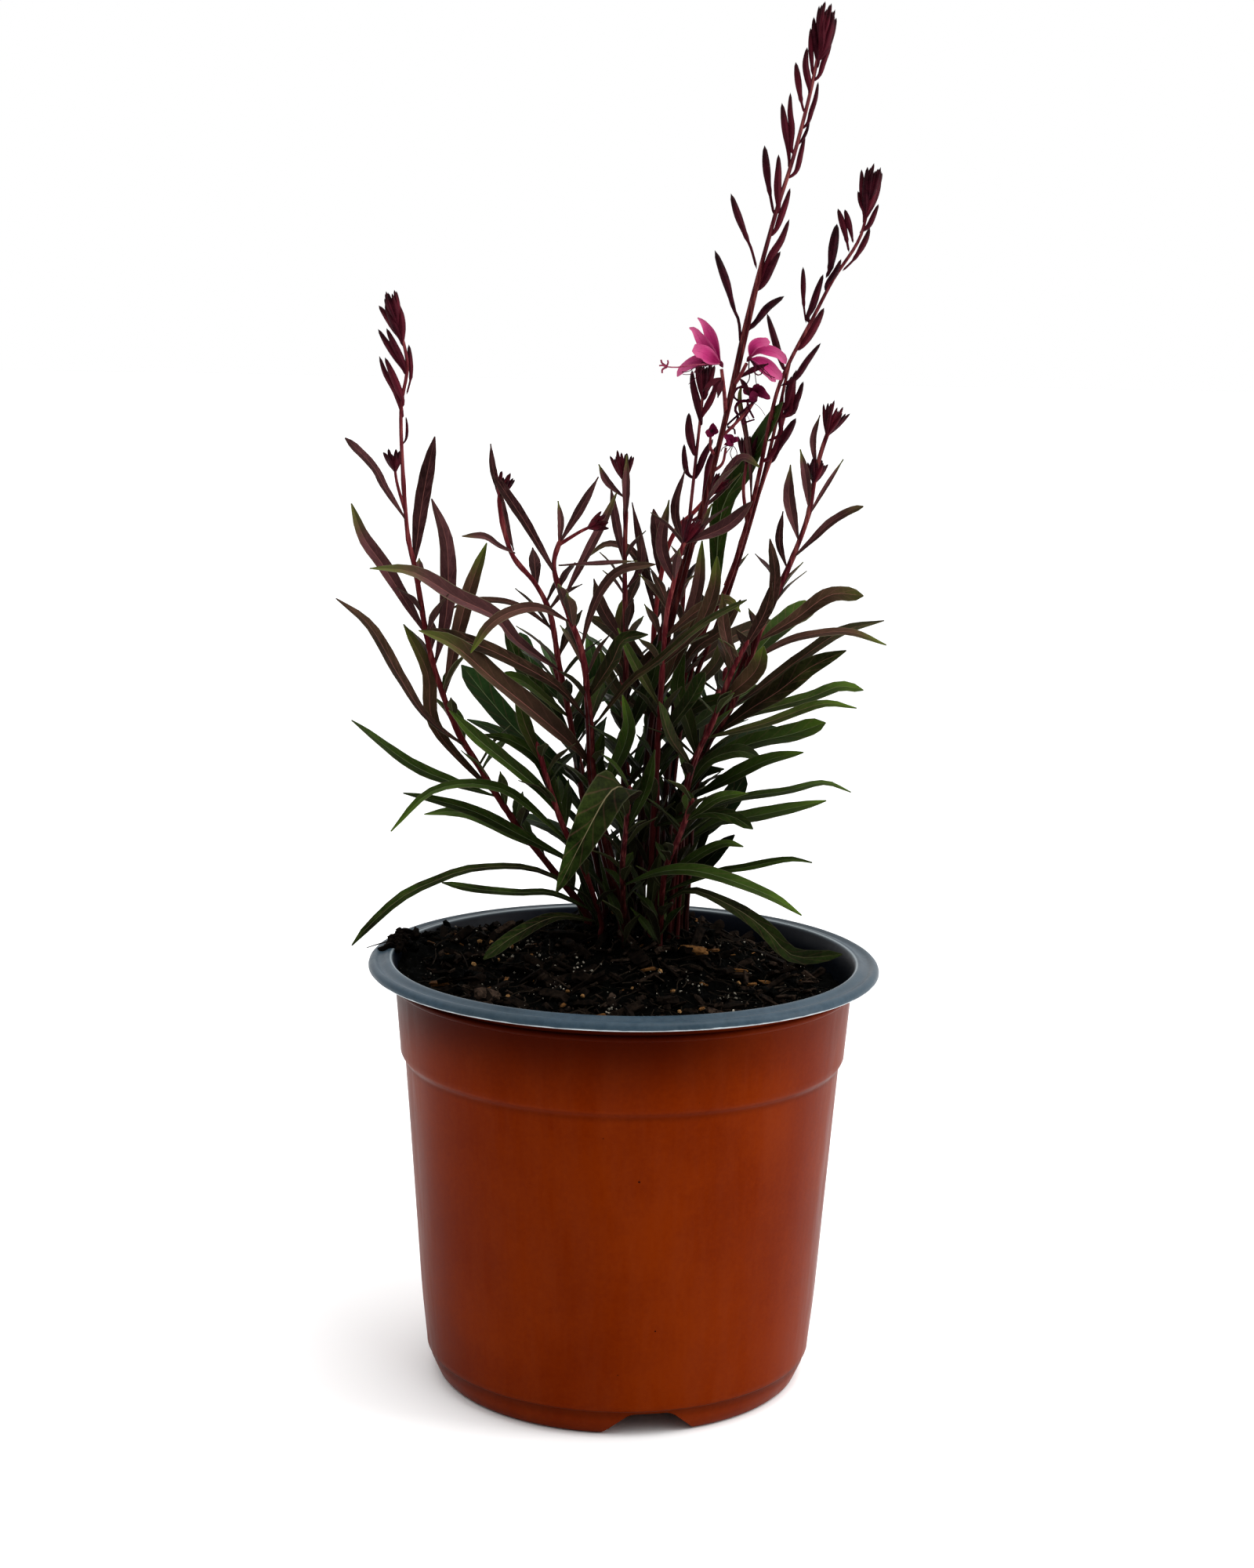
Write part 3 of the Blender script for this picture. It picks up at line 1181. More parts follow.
    def grow_filling(self, stem: Stem, number: int) -> None:
        """Adds the leaves that stand round a stem by the golden angle.

        Args:
            stem: The stem.
            number: The stem's number, which its draws depend on.
        """
        count, low, high, long, wide, rise = stem.row.fill
        draw = seeded(Seed.FILLING.value + 37 * number)
        for i in range(count):
            share = (i + 0.5) / count
            root = stem.axis_at_height(low + (high - low) * share)
            reach = long * (0.75 + 0.5 * draw()) * (1.12 - 0.35 * share)
            aim = (GOLDEN_ANGLE * i + 61 * number, rise - 8 + 16 * draw(), reach)
            self.keep_leaf(stem, self.filling_leaf(stem.node, root, aim, wide))

    def grow_small(self, stem: Stem, number: int) -> None:
        """Adds small leaves along a stem and long upright ones round its foot.

        Args:
            stem: The stem.
            number: The stem's number, which its draws depend on.
        """
        _, low, high, long, _, rise = stem.row.fill
        draw = seeded(Seed.SMALL_LEAVES.value + 53 * number)
        ground = float(seen_height(stem.way.at(stem.share_of_height(low - 30))))
        for i in range(self.small_leaves):
            share = ((i + draw()) / self.small_leaves) ** 1.3
            z = ground + (high + 6 - ground) * share
            root = stem.axis_at_height(z)
            foot = max(0.0, 1 - share / 0.3)
            reach = long * (0.5 + 0.5 * draw()) * (1 + 0.9 * foot)
            aim = (GOLDEN_ANGLE * (i + 0.5) + 61 * number, rise + 12 * draw() + 14 * foot, reach)
            wide = 2.7 + 1.6 * draw() + 1.2 * foot
            self.keep_leaf(stem, self.filling_leaf(stem.node, root, aim, wide))


@contextmanager
def editing() -> Iterator[None]:
    """Edit mode on the active object, with all of its mesh selected.

    Returns:
        A context with the mesh selected.
    """
    bpy.context.tool_settings.mesh_select_mode = (True, False, False)
    bpy.ops.object.mode_set(mode="EDIT")
    bpy.ops.mesh.select_all(action="SELECT")
    yield
    bpy.ops.object.mode_set(mode="OBJECT")


def alone(piece: bpy.types.Object) -> bpy.types.Object:
    """Selects one object and makes it the active one.

    Args:
        piece: The object.

    Returns:
        The same object.
    """
    bpy.ops.object.select_all(action="DESELECT")
    piece.select_set(True)
    bpy.context.view_layer.objects.active = piece
    return piece


def primitive(name: str, add: Callable, **settings: object) -> bpy.types.Object:
    """Adds a primitive under its own name.

    Args:
        name: The name of the object and of its mesh.
        add: The operator that makes it.
        **settings: What the operator is called with.

    Returns:
        The object, selected alone.
    """
    bpy.ops.object.select_all(action="DESELECT")
    add(**settings)
    made = bpy.context.object
    made.name = name
    made.data.name = name
    return alone(made)


def lathe(name: str, outline: Profile, steps: int) -> bpy.types.Object:
    """A turned piece: one point is drawn out along the outline and spun round the axis.

    Args:
        name: The piece's name.
        outline: (radius, height) in millimetres, a closed loop or from axis to axis.
        steps: How many faces go round.

    Returns:
        The closed piece.
    """
    piece = primitive(name, bpy.ops.mesh.primitive_plane_add, size=MM)
    with editing():
        bpy.ops.mesh.merge(type="CENTER")
        bpy.ops.transform.translate(value=(outline[0][0] * MM, 0, outline[0][1] * MM))
        for (r0, z0), (r1, z1) in zip(outline, outline[1:]):
            step = ((r1 - r0) * MM, 0, (z1 - z0) * MM)
            bpy.ops.mesh.extrude_region_move(TRANSFORM_OT_translate={"value": step})
        bpy.ops.mesh.select_all(action="SELECT")
        bpy.ops.mesh.spin(steps=steps, angle=2 * math.pi, center=(0, 0, 0), axis=(0, 0, 1))
        bpy.ops.mesh.select_all(action="SELECT")
        bpy.ops.mesh.remove_doubles(threshold=2e-6)
        bpy.ops.mesh.normals_make_consistent(inside=False)
    return piece


def coordinates(mesh: bpy.types.Mesh) -> np.ndarray:
    """The vertices of a mesh, one row each.

    Args:
        mesh: The mesh.

    Returns:
        The coordinates, in the mesh's units.
    """
    co = np.zeros(len(mesh.vertices) * 3)
    mesh.vertices.foreach_get("co", co)
    return co.reshape(-1, 3)


def finished(piece: bpy.types.Object, finish: "Finish", slot: Slot, nodes: Sequence[str]) -> None:
    """Gives a piece its material, its slot, its body and the solids that it stands for.

    Args:
        piece: The piece.
        finish: Its material.
        slot: Its slot.
        nodes: The solids that it stands for.
    """
    piece.data.materials.clear()
    piece.data.materials.append(finish.material())
    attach(piece, "root")
    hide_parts(*nodes)
    log.info("%s: %d faces", piece.name, len(piece.data.polygons))


@dataclass(frozen=True)
class Pattern:
    """A form that is modelled once: x runs from 0 to 1 along it, y and z lie across it."""

    points: np.ndarray
    faces: tuple[tuple[int, ...], ...]

    @staticmethod
    def taken_from(piece: bpy.types.Object) -> "Pattern":
        """Reads the active object's mesh and removes the object.

        Args:
            piece: The object.

        Returns:
            Its form.
        """
        faces = tuple(tuple(face.vertices) for face in piece.data.polygons)
        pattern = Pattern(coordinates(piece.data), faces)
        mesh = piece.data
        bpy.data.objects.remove(piece)
        bpy.data.meshes.remove(mesh)
        return pattern


def blade_pattern(runs: int, rows: int) -> Pattern:
    """A flat blade, 1 long, from -1 to 1 across, its faces at half its thickness each side.

    Args:
        runs: How many parts its length has.
        rows: How many parts its width has.

    Returns:
        The form.
    """
    grid = bpy.ops.mesh.primitive_grid_add
    piece = primitive("blade", grid, x_subdivisions=runs, y_subdivisions=rows, size=2)
    with editing():
        bpy.ops.transform.translate(value=(1, 0, 0))
        bpy.ops.transform.resize(value=(0.5, 1, 1), center_override=(0, 0, 0))
    solidify = piece.modifiers.new("body", "SOLIDIFY")
    solidify.thickness = 1
    solidify.offset = 0
    bpy.ops.object.modifier_apply(modifier="body")
    return Pattern.taken_from(piece)


def rod_pattern(sides: int, runs: int) -> Pattern:
    """A round rod, 1 long and 1 in radius, with closed ends.

    Args:
        sides: How many faces go round.
        runs: How many parts its length has.

    Returns:
        The form.
    """
    rod = bpy.ops.mesh.primitive_cylinder_add
    piece = primitive("rod", rod, vertices=sides, radius=1, depth=1, rotation=LYING)
    bpy.ops.object.transform_apply(location=True, rotation=True, scale=True)
    with editing():
        bpy.ops.transform.translate(value=(0.5, 0, 0))
        bpy.ops.mesh.select_all(action="DESELECT")
    for edge in piece.data.edges:
        ends = [piece.data.vertices[v].co.x for v in edge.vertices]
        edge.select = abs(ends[0] - ends[1]) > 0.5
    bpy.context.tool_settings.mesh_select_mode = (False, True, False)
    bpy.ops.object.mode_set(mode="EDIT")
    bpy.ops.mesh.subdivide(number_cuts=runs - 1)
    bpy.ops.object.mode_set(mode="OBJECT")
    return Pattern.taken_from(piece)


def bud_pattern(sides: int, rings: int) -> Pattern:
    """A closed spindle, 1 long, whose rings all have radius 1 and whose ends are points.

    Args:
        sides: How many faces go round.
        rings: How many parts its length has.

    Returns:
        The form.
    """
    ball = bpy.ops.mesh.primitive_uv_sphere_add
    piece = primitive("bud", ball, segments=sides, ring_count=rings, radius=1, rotation=LYING)
    bpy.ops.object.transform_apply(location=True, rotation=True, scale=True)
    with editing():
        bpy.ops.transform.translate(value=(1, 0, 0))
        bpy.ops.transform.resize(value=(0.5, 1, 1), center_override=(0, 0, 0))
    spindle = Pattern.taken_from(piece)
    round_it = np.linalg.norm(spindle.points[:, 1:], axis=1, keepdims=True)
    spindle.points[:, 1:] = np.where(round_it > 1e-4, spindle.points[:, 1:] / np.maximum(round_it, 1e-4), 0)
    spindle.points[:, 0] = np.arccos(np.clip(1 - 2 * spindle.points[:, 0], -1, 1)) / math.pi
    return spindle


def chip_pattern(seed: int) -> Pattern:
    """A rough splinter of bark, about 2 long, 2 wide and 2 thick before it is sized.

    Args:
        seed: Another seed gives another form.

    Returns:
        The form.
    """
    piece = primitive("chip", bpy.ops.mesh.primitive_cube_add, size=2)
    with editing():
        bpy.ops.mesh.bevel(offset=0.25, segments=1)
        bpy.ops.mesh.select_all(action="SELECT")
        bpy.ops.mesh.subdivide(number_cuts=1)
    noise.seed_set(Seed.CHIPS.value)
    for vertex in piece.data.vertices:
        push = noise.noise_vector(vertex.co * 0.9 + Vector((seed * 7.3, 0, 0)))
        vertex.co += Vector((push.x * 0.35, push.y * 0.5, push.z * 0.55))
    return Pattern.taken_from(piece)


def grain_pattern(seed: int) -> Pattern:
    """A small rounded grain of radius 1.

    Args:
        seed: Another seed gives another form.

    Returns:
        The form.
    """
    piece = primitive("grain", bpy.ops.mesh.primitive_ico_sphere_add, subdivisions=1, radius=1)
    for vertex in piece.data.vertices:
        vertex.co *= 1 + 0.3 * noise.noise(vertex.co * 1.7 + Vector((seed * 3.1, 0, 0)))
    return Pattern.taken_from(piece)


@dataclass
class Cluster:
    """Copies of patterns, each with its own points, that make up one piece."""

    points: list[np.ndarray] = field(default_factory=list)
    faces: list[tuple[int, ...]] = field(default_factory=list)
    maps: list[np.ndarray] = field(default_factory=list)
    marks: list[np.ndarray] = field(default_factory=list)
    count: int = 0

    def add(self, pattern: Pattern, points: np.ndarray, uv: np.ndarray, mark: np.ndarray | tuple) -> None:
        """Adds one copy.

        Args:
            pattern: Whose faces the copy has.
            points: Where its points go, in millimetres.
            uv: Its map, one row for each point.
            mark: Its four marks, the same for all or one row for each point.
        """
        self.points.append(points)
        self.faces.extend(tuple(v + self.count for v in face) for face in pattern.faces)
        self.maps.append(uv)
        self.marks.append(np.broadcast_to(mark, (len(points), 4)))
        self.count += len(points)

    def build(self, name: str, crease: float = 40.0) -> bpy.types.Object:
        """Makes the piece, in metres and smooth up to an angle in degrees.

        Args:
            name: Its name.
            crease: The angle in degrees up to which it is smooth.

        Returns:
            The piece.
        """
        mesh = bpy.data.meshes.new(name)
        mesh.from_pydata((np.vstack(self.points) * MM).tolist(), [], self.faces)
        corners = np.zeros(len(mesh.loops), int)
        mesh.loops.foreach_get("vertex_index", corners)
        mesh.uv_layers.new(name="shape").data.foreach_set("uv", np.vstack(self.maps)[corners].ravel())
        marks = mesh.attributes.new("mark", "FLOAT_COLOR", "POINT")
        marks.data.foreach_set("color", np.vstack(self.marks).ravel())
        piece = bpy.data.objects.new(name, mesh)
        bpy.context.scene.collection.objects.link(piece)
        alone(piece)
        with editing():
            bpy.ops.mesh.normals_make_consistent(inside=False)
        bpy.ops.object.shade_smooth_by_angle(angle=math.radians(crease))
        return piece


Socket = bpy.types.NodeSocket
Sockets = bpy.types.bpy_prop_collection
Value = Socket | float
Paint = Socket | str


def colour(code: str) -> tuple[float, float, float, float]:
    """A colour of the screen, such as "a8411f", as Blender's linear values.

    Args:
        code: Its red, green and blue as hexadecimal digits.

    Returns:
        Its linear red, green and blue, with alpha 1.
    """
    parts = [int(code[i : i + 2], 16) / 255 for i in (0, 2, 4)]
    linear = [c / 12.92 if c <= 0.04045 else ((c + 0.055) / 1.055) ** 2.4 for c in parts]
    return (*linear, 1.0)


@dataclass(frozen=True)
class Wiring:
    """A node tree, with a word for each kind of node that the finishes are wired from."""

    tree: bpy.types.NodeTree

    def add(self, kind: str, values: dict | None = None, **settings: object) -> bpy.types.Node:
        """Adds one shader node.

        Args:
            kind: The node's type, without the leading ShaderNode.
            values: Its inputs by name or number: plain values, or sockets to link.
            **settings: Its own properties.

        Returns:
            The node.
        """
        made = self.tree.nodes.new("ShaderNode" + kind)
        for name, value in settings.items():
            setattr(made, name, value)
        for key, value in (values or {}).items():
            if isinstance(value, Socket):
                self.tree.links.new(value, made.inputs[key])
            else:
                made.inputs[key].default_value = value
        return made

    def math(self, operation: str, *values: Value) -> Socket:
        """The result of a Math node."""
        return self.add("Math", dict(enumerate(values)), operation=operation).outputs[0]

    def times(self, a: Value, b: Value) -> Socket:
        """One value times another."""
        return self.math("MULTIPLY", a, b)

    def plus(self, a: Value, b: Value) -> Socket:
        """The sum of two values."""
        return self.math("ADD", a, b)

    def minus(self, a: Value, b: Value) -> Socket:
        """One value less another."""
        return self.math("SUBTRACT", a, b)

    def ease(self, value: Value, low: Value, high: Value, a: float = 0.0, b: float = 1.0) -> Socket:
        """A value eased from a at low to b at high."""
        values = {"Value": value, "From Min": low, "From Max": high, "To Min": a, "To Max": b}
        return self.add("MapRange", values, interpolation_type="SMOOTHSTEP").outputs["Result"]

    def mix(self, share: Value, a: Paint, b: Paint) -> Socket:
        """A colour between two, each of them a socket or a code."""
        pair = [colour(paint) if isinstance(paint, str) else paint for paint in (a, b)]
        return self.add("Mix", {0: share, 6: pair[0], 7: pair[1]}, data_type="RGBA").outputs[2]

    def over(self, skin: Socket, paint: Paint, mask: Socket, share: float = 1.0) -> Socket:
        """The skin with a colour laid over it where the mask is 1, as thick as the share."""
        return self.mix(mask if share == 1 else self.times(mask, share), skin, paint)

    def noise(self, place: Socket, scale: Value, detail: float = 2.0, rough: float = 0.5) -> Socket:
        """The value of a noise."""
        values = {"Vector": place, "Scale": scale, "Detail": detail, "Roughness": rough}
        return self.add("TexNoise", values).outputs[0]

    def vector(self, operation: str, *values: Socket | tuple) -> Sockets:
        """The results of a Vector Math node."""
        return self.add("VectorMath", dict(enumerate(values)), operation=operation).outputs

    def split(self, vector: Socket) -> Sockets:
        """The three parts of a vector."""
        return self.add("SeparateXYZ", {0: vector}).outputs

    def place(self) -> Socket:
        """The place on the object."""
        return self.add("TexCoord").outputs["Object"]

    def drawn(self, place: Socket, scale: float, lean: tuple = (0, 0, 0)) -> Socket:
        """A place for a pattern that is drawn out upwards, by the inverse of the scale."""
        values = {"Vector": place, "Rotation": lean, "Scale": (1, 1, scale)}
        return self.add("Mapping", values).outputs[0]

    def own_map(self) -> tuple[Socket, Socket]:
        """A copy's own map: the share along it, and the share across or round it."""
        along, across, _ = self.split(self.add("TexCoord").outputs["UV"])
        return along, across

    def marks(self) -> Sockets:
        """The marks of a copy: tone, chance and under."""
        mark = self.add("Attribute", attribute_name="mark")
        return self.add("SeparateColor", {0: mark.outputs["Color"]}).outputs


@dataclass(frozen=True)
class Effect:
    """A pattern that several finishes share, as a node group of its own.

    inputs holds the default of each input, or None for a place.
    wiring makes the outputs by name from the inputs.
    """

    name: str
    inputs: dict[str, float | None]
    wiring: Callable[[Wiring, Sockets], dict[str, Socket]]

    def group(self) -> bpy.types.NodeTree:
        """The node group, made where it is first needed.

        Returns:
            The group's tree.
        """
        if self.name in bpy.data.node_groups:
            return bpy.data.node_groups[self.name]
        tree = bpy.data.node_groups.new(self.name, "ShaderNodeTree")
        for label, value in self.inputs.items():
            kind = "NodeSocketVector" if value is None else "NodeSocketFloat"
            socket = tree.interface.new_socket(label, in_out="INPUT", socket_type=kind)
            if value is not None:
                socket.default_value = value
        made = self.wiring(Wiring(tree), tree.nodes.new("NodeGroupInput").outputs)
        for label in made:
            tree.interface.new_socket(label, in_out="OUTPUT", socket_type="NodeSocketFloat")
        out = tree.nodes.new("NodeGroupOutput")
        for label, value in made.items():
            tree.links.new(value, out.inputs[label])
        return tree

    def use(self, w: Wiring, **values: Value) -> Sockets:
        """Puts the group into a material and returns its outputs."""
        return w.add("Group", values, node_tree=self.group()).outputs


def mottle(w: Wiring, into: Sockets) -> dict[str, Socket]:
    """Cloudy variation at two scales: Value for colours and Height for bump.

    Args:
        w: The group's wiring.
        into: The group's inputs.

    Returns:
        The outputs by name.
    """
    broad = w.noise(into["Place"], into["Scale"], 3.0, 0.6)
    fine = w.noise(into["Place"], w.times(into["Scale"], into["Fine"]), 4.0, 0.7)
    both = w.plus(w.times(broad, 0.65), w.times(fine, 0.35))
    return {"Value": w.ease(both, 0.32, 0.68), "Height": fine}


def veins(w: Wiring, into: Sockets) -> dict[str, Socket]:
    """A blade's midrib, side veins and margin, from its own map.

    Args:
        w: The group's wiring.
        into: Along runs from 0 to 1, and Across from 0 at one margin to 1 at the other.

    Returns:
        The masks, and Side, which is 0 on the midrib and 1 at the margin.
    """
    side = w.math("ABSOLUTE", w.math("MULTIPLY_ADD", into["Across"], 2.0, -1.0))
    near = w.math("DIVIDE", side, w.times(into["Rib"], w.minus(1.25, into["Along"])))
    phase = w.times(w.minus(into["Along"], w.times(side, into["Slant"])), into["Pairs"])
    return {
        "Midrib": w.ease(near, 0.4, 1.0, 1.0, 0.0),
        "Veins": w.ease(w.math("PINGPONG", phase, 0.5), 0.0, 0.12, 1.0, 0.0),
        "Margin": w.ease(side, 0.93, 1.0),
        "Side": side,
    }


def specks(w: Wiring, into: Sockets) -> dict[str, Socket]:
    """Small pits or specks: Mask is 1 inside the few cells that have one.

    Args:
        w: The group's wiring.
        into: The group's inputs.

    Returns:
        The outputs by name.
    """
    cell = w.add("TexVoronoi", {"Vector": into["Place"], "Scale": into["Scale"]}).outputs
    tint = w.add("SeparateColor", {0: cell["Color"]}).outputs
    chosen = w.math("LESS_THAN", tint[0], into["Share"])
    radius = w.times(into["Size"], w.math("MULTIPLY_ADD", tint[1], 0.8, 0.4))
    return {"Mask": w.times(chosen, w.math("LESS_THAN", cell["Distance"], radius))}


def crown(w: Wiring, into: Sockets) -> dict[str, Socket]:
    """How deep a place lies in the crown: Value is 1 in its middle and 0 outside it.

    Args:
        w: The group's wiring.
        into: The group's inputs.

    Returns:
        The outputs by name.
    """
    shift = w.vector("SUBTRACT", into["Place"], CROWN_MIDDLE)[0]
    far = w.vector("LENGTH", w.vector("MULTIPLY", shift, (1.0, 1.0, 0.8))[0])["Value"]
    return {"Value": w.ease(far, 0.012, into["Reach"], 1.0, 0.0)}


MOTTLE = Effect("mottle", {"Place": None, "Scale": 100.0, "Fine": 6.0}, mottle)
VEINS = Effect("veins", {"Along": 0.0, "Across": 0.0, "Pairs": 9.0, "Slant": 0.16, "Rib": 0.08}, veins)
SPECKS = Effect("specks", {"Place": None, "Scale": 200.0, "Size": 0.2, "Share": 0.1}, specks)
CROWN = Effect("crown", {"Place": None, "Reach": 0.085}, crown)


@dataclass(frozen=True)
class Finish:
    """A material with a name, made once and shared by the pieces that have it.

    level, tint and ior give its highlight, rough the range of its roughness,
    and relief the strength of its bump and its depth in metres.
    """

    name: str
    level: float = 0.06
    tint: str = "c07080"
    ior: float = 1.5
    rough: tuple[float, float] = (0.42, 0.6)
    relief: tuple[float, float] = (0.4, 0.0001)

    def material(self) -> bpy.types.Material:
        """The finish's material.

        Returns:
            The material.
        """
        known = bpy.data.materials.get(self.name)
        if known is not None:
            return known
        made = bpy.data.materials.new(self.name)
        made.use_nodes = True
        w = Wiring(made.node_tree)
        skin, cloud, height = self.dress(w)
        strength, depth = self.relief
        bump = w.add("Bump", {"Height": height, "Strength": strength, "Distance": depth})
        inputs = made.node_tree.nodes["Principled BSDF"].inputs
        inputs["Specular IOR Level"].default_value = self.level
        inputs["Specular Tint"].default_value = colour(self.tint)
        inputs["IOR"].default_value = self.ior
        rough = w.ease(cloud, 0.0, 1.0, *self.rough)
        for name, value in (("Base Color", skin), ("Roughness", rough), ("Normal", bump.outputs[0])):
            made.node_tree.links.new(value, inputs[name])
        return made

    def dress(self, w: Wiring) -> tuple[Socket, Socket, Socket]:
        """Wires the skin's colour, the cloud that its roughness follows, and its height."""
        raise NotImplementedError


@dataclass(frozen=True)
class LeafFinish(Finish):
    """A leaf's skin, from mauve over bronze to green by its tone, with rib, veins and pale margin."""

    level: float = 0.035
    tint: str = "c0b8a0"
    relief: tuple[float, float] = (0.35, 0.00012)
    mauve: tuple[str, str] = ("120506", "5a3638")
    bronze: tuple[str, str] = ("0c0604", "4a3626")
    green: tuple[str, str] = ("060e02", "3c521d")
    tip: str = "4a6414"
    rib: str = "8a5750"
    green_rib: str = "78845e"
    under: str = "43302f"
    margin: str = "66644c"
    shade: str = "050402"
    depth: float = 0.85

    def dress(self, w: Wiring) -> tuple[Socket, Socket, Socket]:
        """Wires the leaf's colours and veins; its foot and the crown's middle are in the shade.

        Args:
            w: The material's wiring.

        Returns:
            The colour, the cloud that the roughness follows, and the height.
        """
        place = w.place()
        along, across = w.own_map()
        tone, chance, under = w.marks()
        veined = VEINS.use(w, Along=along, Across=across, Rib=0.1)
        cloud = MOTTLE.use(w, Place=place, Scale=130.0)
        inner = CROWN.use(w, Place=place)["Value"]
        lighter = w.plus(w.times(cloud["Value"], 0.38), w.times(chance, 0.62))
        mauve, bronze, green = (w.mix(lighter, *pair) for pair in (self.mauve, self.bronze, self.green))
        greener = w.plus(tone, w.times(w.ease(along, 0.2, 1.0), 0.25))
        skin = w.mix(w.ease(greener, -0.8, 0.1), mauve, bronze)
        skin = w.mix(w.ease(greener, 0.15, 0.85), skin, green)
        tipped = w.times(w.ease(along, 0.72, 1.0), w.ease(chance, 0.35, 0.85, 0.0, 0.55))
        skin = w.over(skin, self.tip, tipped)
        skin = w.over(skin, self.under, under, 0.4)
        skin = w.over(skin, self.rib, veined["Veins"], 0.1)
        rib = w.mix(w.ease(tone, 0.3, 0.8), self.rib, self.green_rib)
        skin = w.over(skin, rib, veined["Midrib"], 0.75)
        half = w.minus(w.ease(across, 0.46, 0.54), w.ease(chance, 0.45, 0.55))
        skin = w.over(skin, self.shade, w.math("ABSOLUTE", half), 0.4)
        skin = w.over(skin, self.margin, w.times(veined["Margin"], w.ease(chance, 0.1, 0.9, 0.2, 0.65)))
        skin = w.over(skin, self.shade, w.ease(w.split(place)[2], 0.138, 0.158, 0.6, 0.0))
        skin = w.over(skin, self.shade, inner, self.depth)
        return skin, cloud["Value"], w.minus(w.times(cloud["Height"], 0.4), veined["Veins"])


@dataclass(frozen=True)
class StalkFinish(Finish):
    """A stem's bark: dark at the foot, crimson in the middle, burgundy at the spike."""

    relief: tuple[float, float] = (0.4, 0.00015)
    foot: str = "0e0402"
    middle: str = "2b0909"
    top: str = "421319"
    spike: str = "4e2026"
    streak: str = "884a44"
    bright: str = "782428"

    def dress(self, w: Wiring) -> tuple[Socket, Socket, Socket]:
        """Wires the stalk's colours along its length and its streaks.

        Args:
            w: The material's wiring.

        Returns:
            The colour, the cloud that the roughness follows, and the height.
        """
        place = w.place()
        along, _ = w.own_map()
        tone, spiked, _ = w.marks()
        cloud = MOTTLE.use(w, Place=w.drawn(place, 0.07), Scale=620.0, Fine=2.0)
        inner = CROWN.use(w, Place=place, Reach=0.07)["Value"]
        low = w.mix(w.ease(along, 0.04, 0.4), self.foot, self.middle)
        top = w.mix(w.times(spiked, w.ease(along, 0.62, 0.78)), self.top, self.spike)
        skin = w.mix(w.ease(along, 0.42, 0.85), low, top)
        lit = w.times(w.ease(cloud["Value"], 0.45, 1.0, 0.0, 0.5), w.ease(along, 0.2, 0.9, 0.2, 1.0))
        skin = w.over(skin, self.streak, lit)
        skin = w.over(skin, self.foot, w.ease(cloud["Value"], 0.1, 0.4, 0.6, 0.0))
        skin = w.over(skin, self.bright, tone, 0.7)
        skin = w.over(skin, self.foot, inner, 0.6)
        return skin, cloud["Value"], cloud["Height"]


@dataclass(frozen=True)
class BudFinish(Finish):
    """A bud's skin: dark maroon, streaked lengthwise, redder by its tone and dark at the tip."""

    tint: str = "b07080"
    dark: str = "0c0206"
    light: str = "43151f"
    red: str = "5a151f"
    tip: str = "120a0a"

    def dress(self, w: Wiring) -> tuple[Socket, Socket, Socket]:
        """Wires the bud's streaks and its tip.

        Args:
            w: The material's wiring.

        Returns:
            The colour, the cloud that the roughness follows, and the height.
        """
        along, round_it = w.own_map()
        tone, chance, _ = w.marks()
        cloud = MOTTLE.use(w, Place=w.place(), Scale=350.0)
        lines = w.ease(w.math("PINGPONG", w.times(round_it, 4.0), 0.5), 0.0, 0.16, 1.0, 0.0)
        lighter = w.plus(w.times(cloud["Value"], 0.5), w.times(chance, 0.5))
        skin = w.mix(lighter, self.dark, self.light)
        skin = w.over(skin, self.red, w.times(tone, chance))
        skin = w.over(skin, self.dark, lines, 0.25)
        skin = w.over(skin, self.tip, w.ease(along, 0.62, 1.0, 0.0, 0.75))
        return skin, cloud["Value"], w.minus(w.times(cloud["Height"], 0.5), lines)


@dataclass(frozen=True)
class PetalFinish(Finish):
    """A petal: deep pink with darker veins, dark at the claw and pale at the tip."""

    level: float = 0.05
    tint: str = "e0a0c0"
    rough: tuple[float, float] = (0.5, 0.65)
    relief: tuple[float, float] = (0.3, 0.0001)
    claw: str = "640632"
    middle: str = "9a2a5e"
    edge: str = "b4587e"
    vein: str = "780f42"

    def dress(self, w: Wiring) -> tuple[Socket, Socket, Socket]:
        """Wires the petal's colours and veins.

        Args:
            w: The material's wiring.

        Returns:
            The colour, the cloud that the roughness follows, and the height.
        """
        along, across = w.own_map()
        veined = VEINS.use(w, Along=along, Across=across, Pairs=7.0, Slant=-0.5, Rib=0.12)
        cloud = MOTTLE.use(w, Place=w.place(), Scale=260.0)
        start = w.minus(along, w.times(w.marks()[1], 0.25))
        skin = w.mix(w.ease(start, 0.0, 0.45), self.claw, self.middle)
        beside = w.ease(veined["Side"], 0.5, 1.0, 0.0, 0.4)
        skin = w.over(skin, self.edge, w.math("MAXIMUM", w.ease(start, 0.35, 0.9, 0.0, 0.9), beside))
        skin = w.over(skin, self.vein, veined["Veins"], 0.3)
        skin = w.over(skin, self.vein, veined["Midrib"], 0.4)
        skin = w.over(skin, self.claw, cloud["Value"], 0.15)
        return skin, cloud["Value"], veined["Veins"]


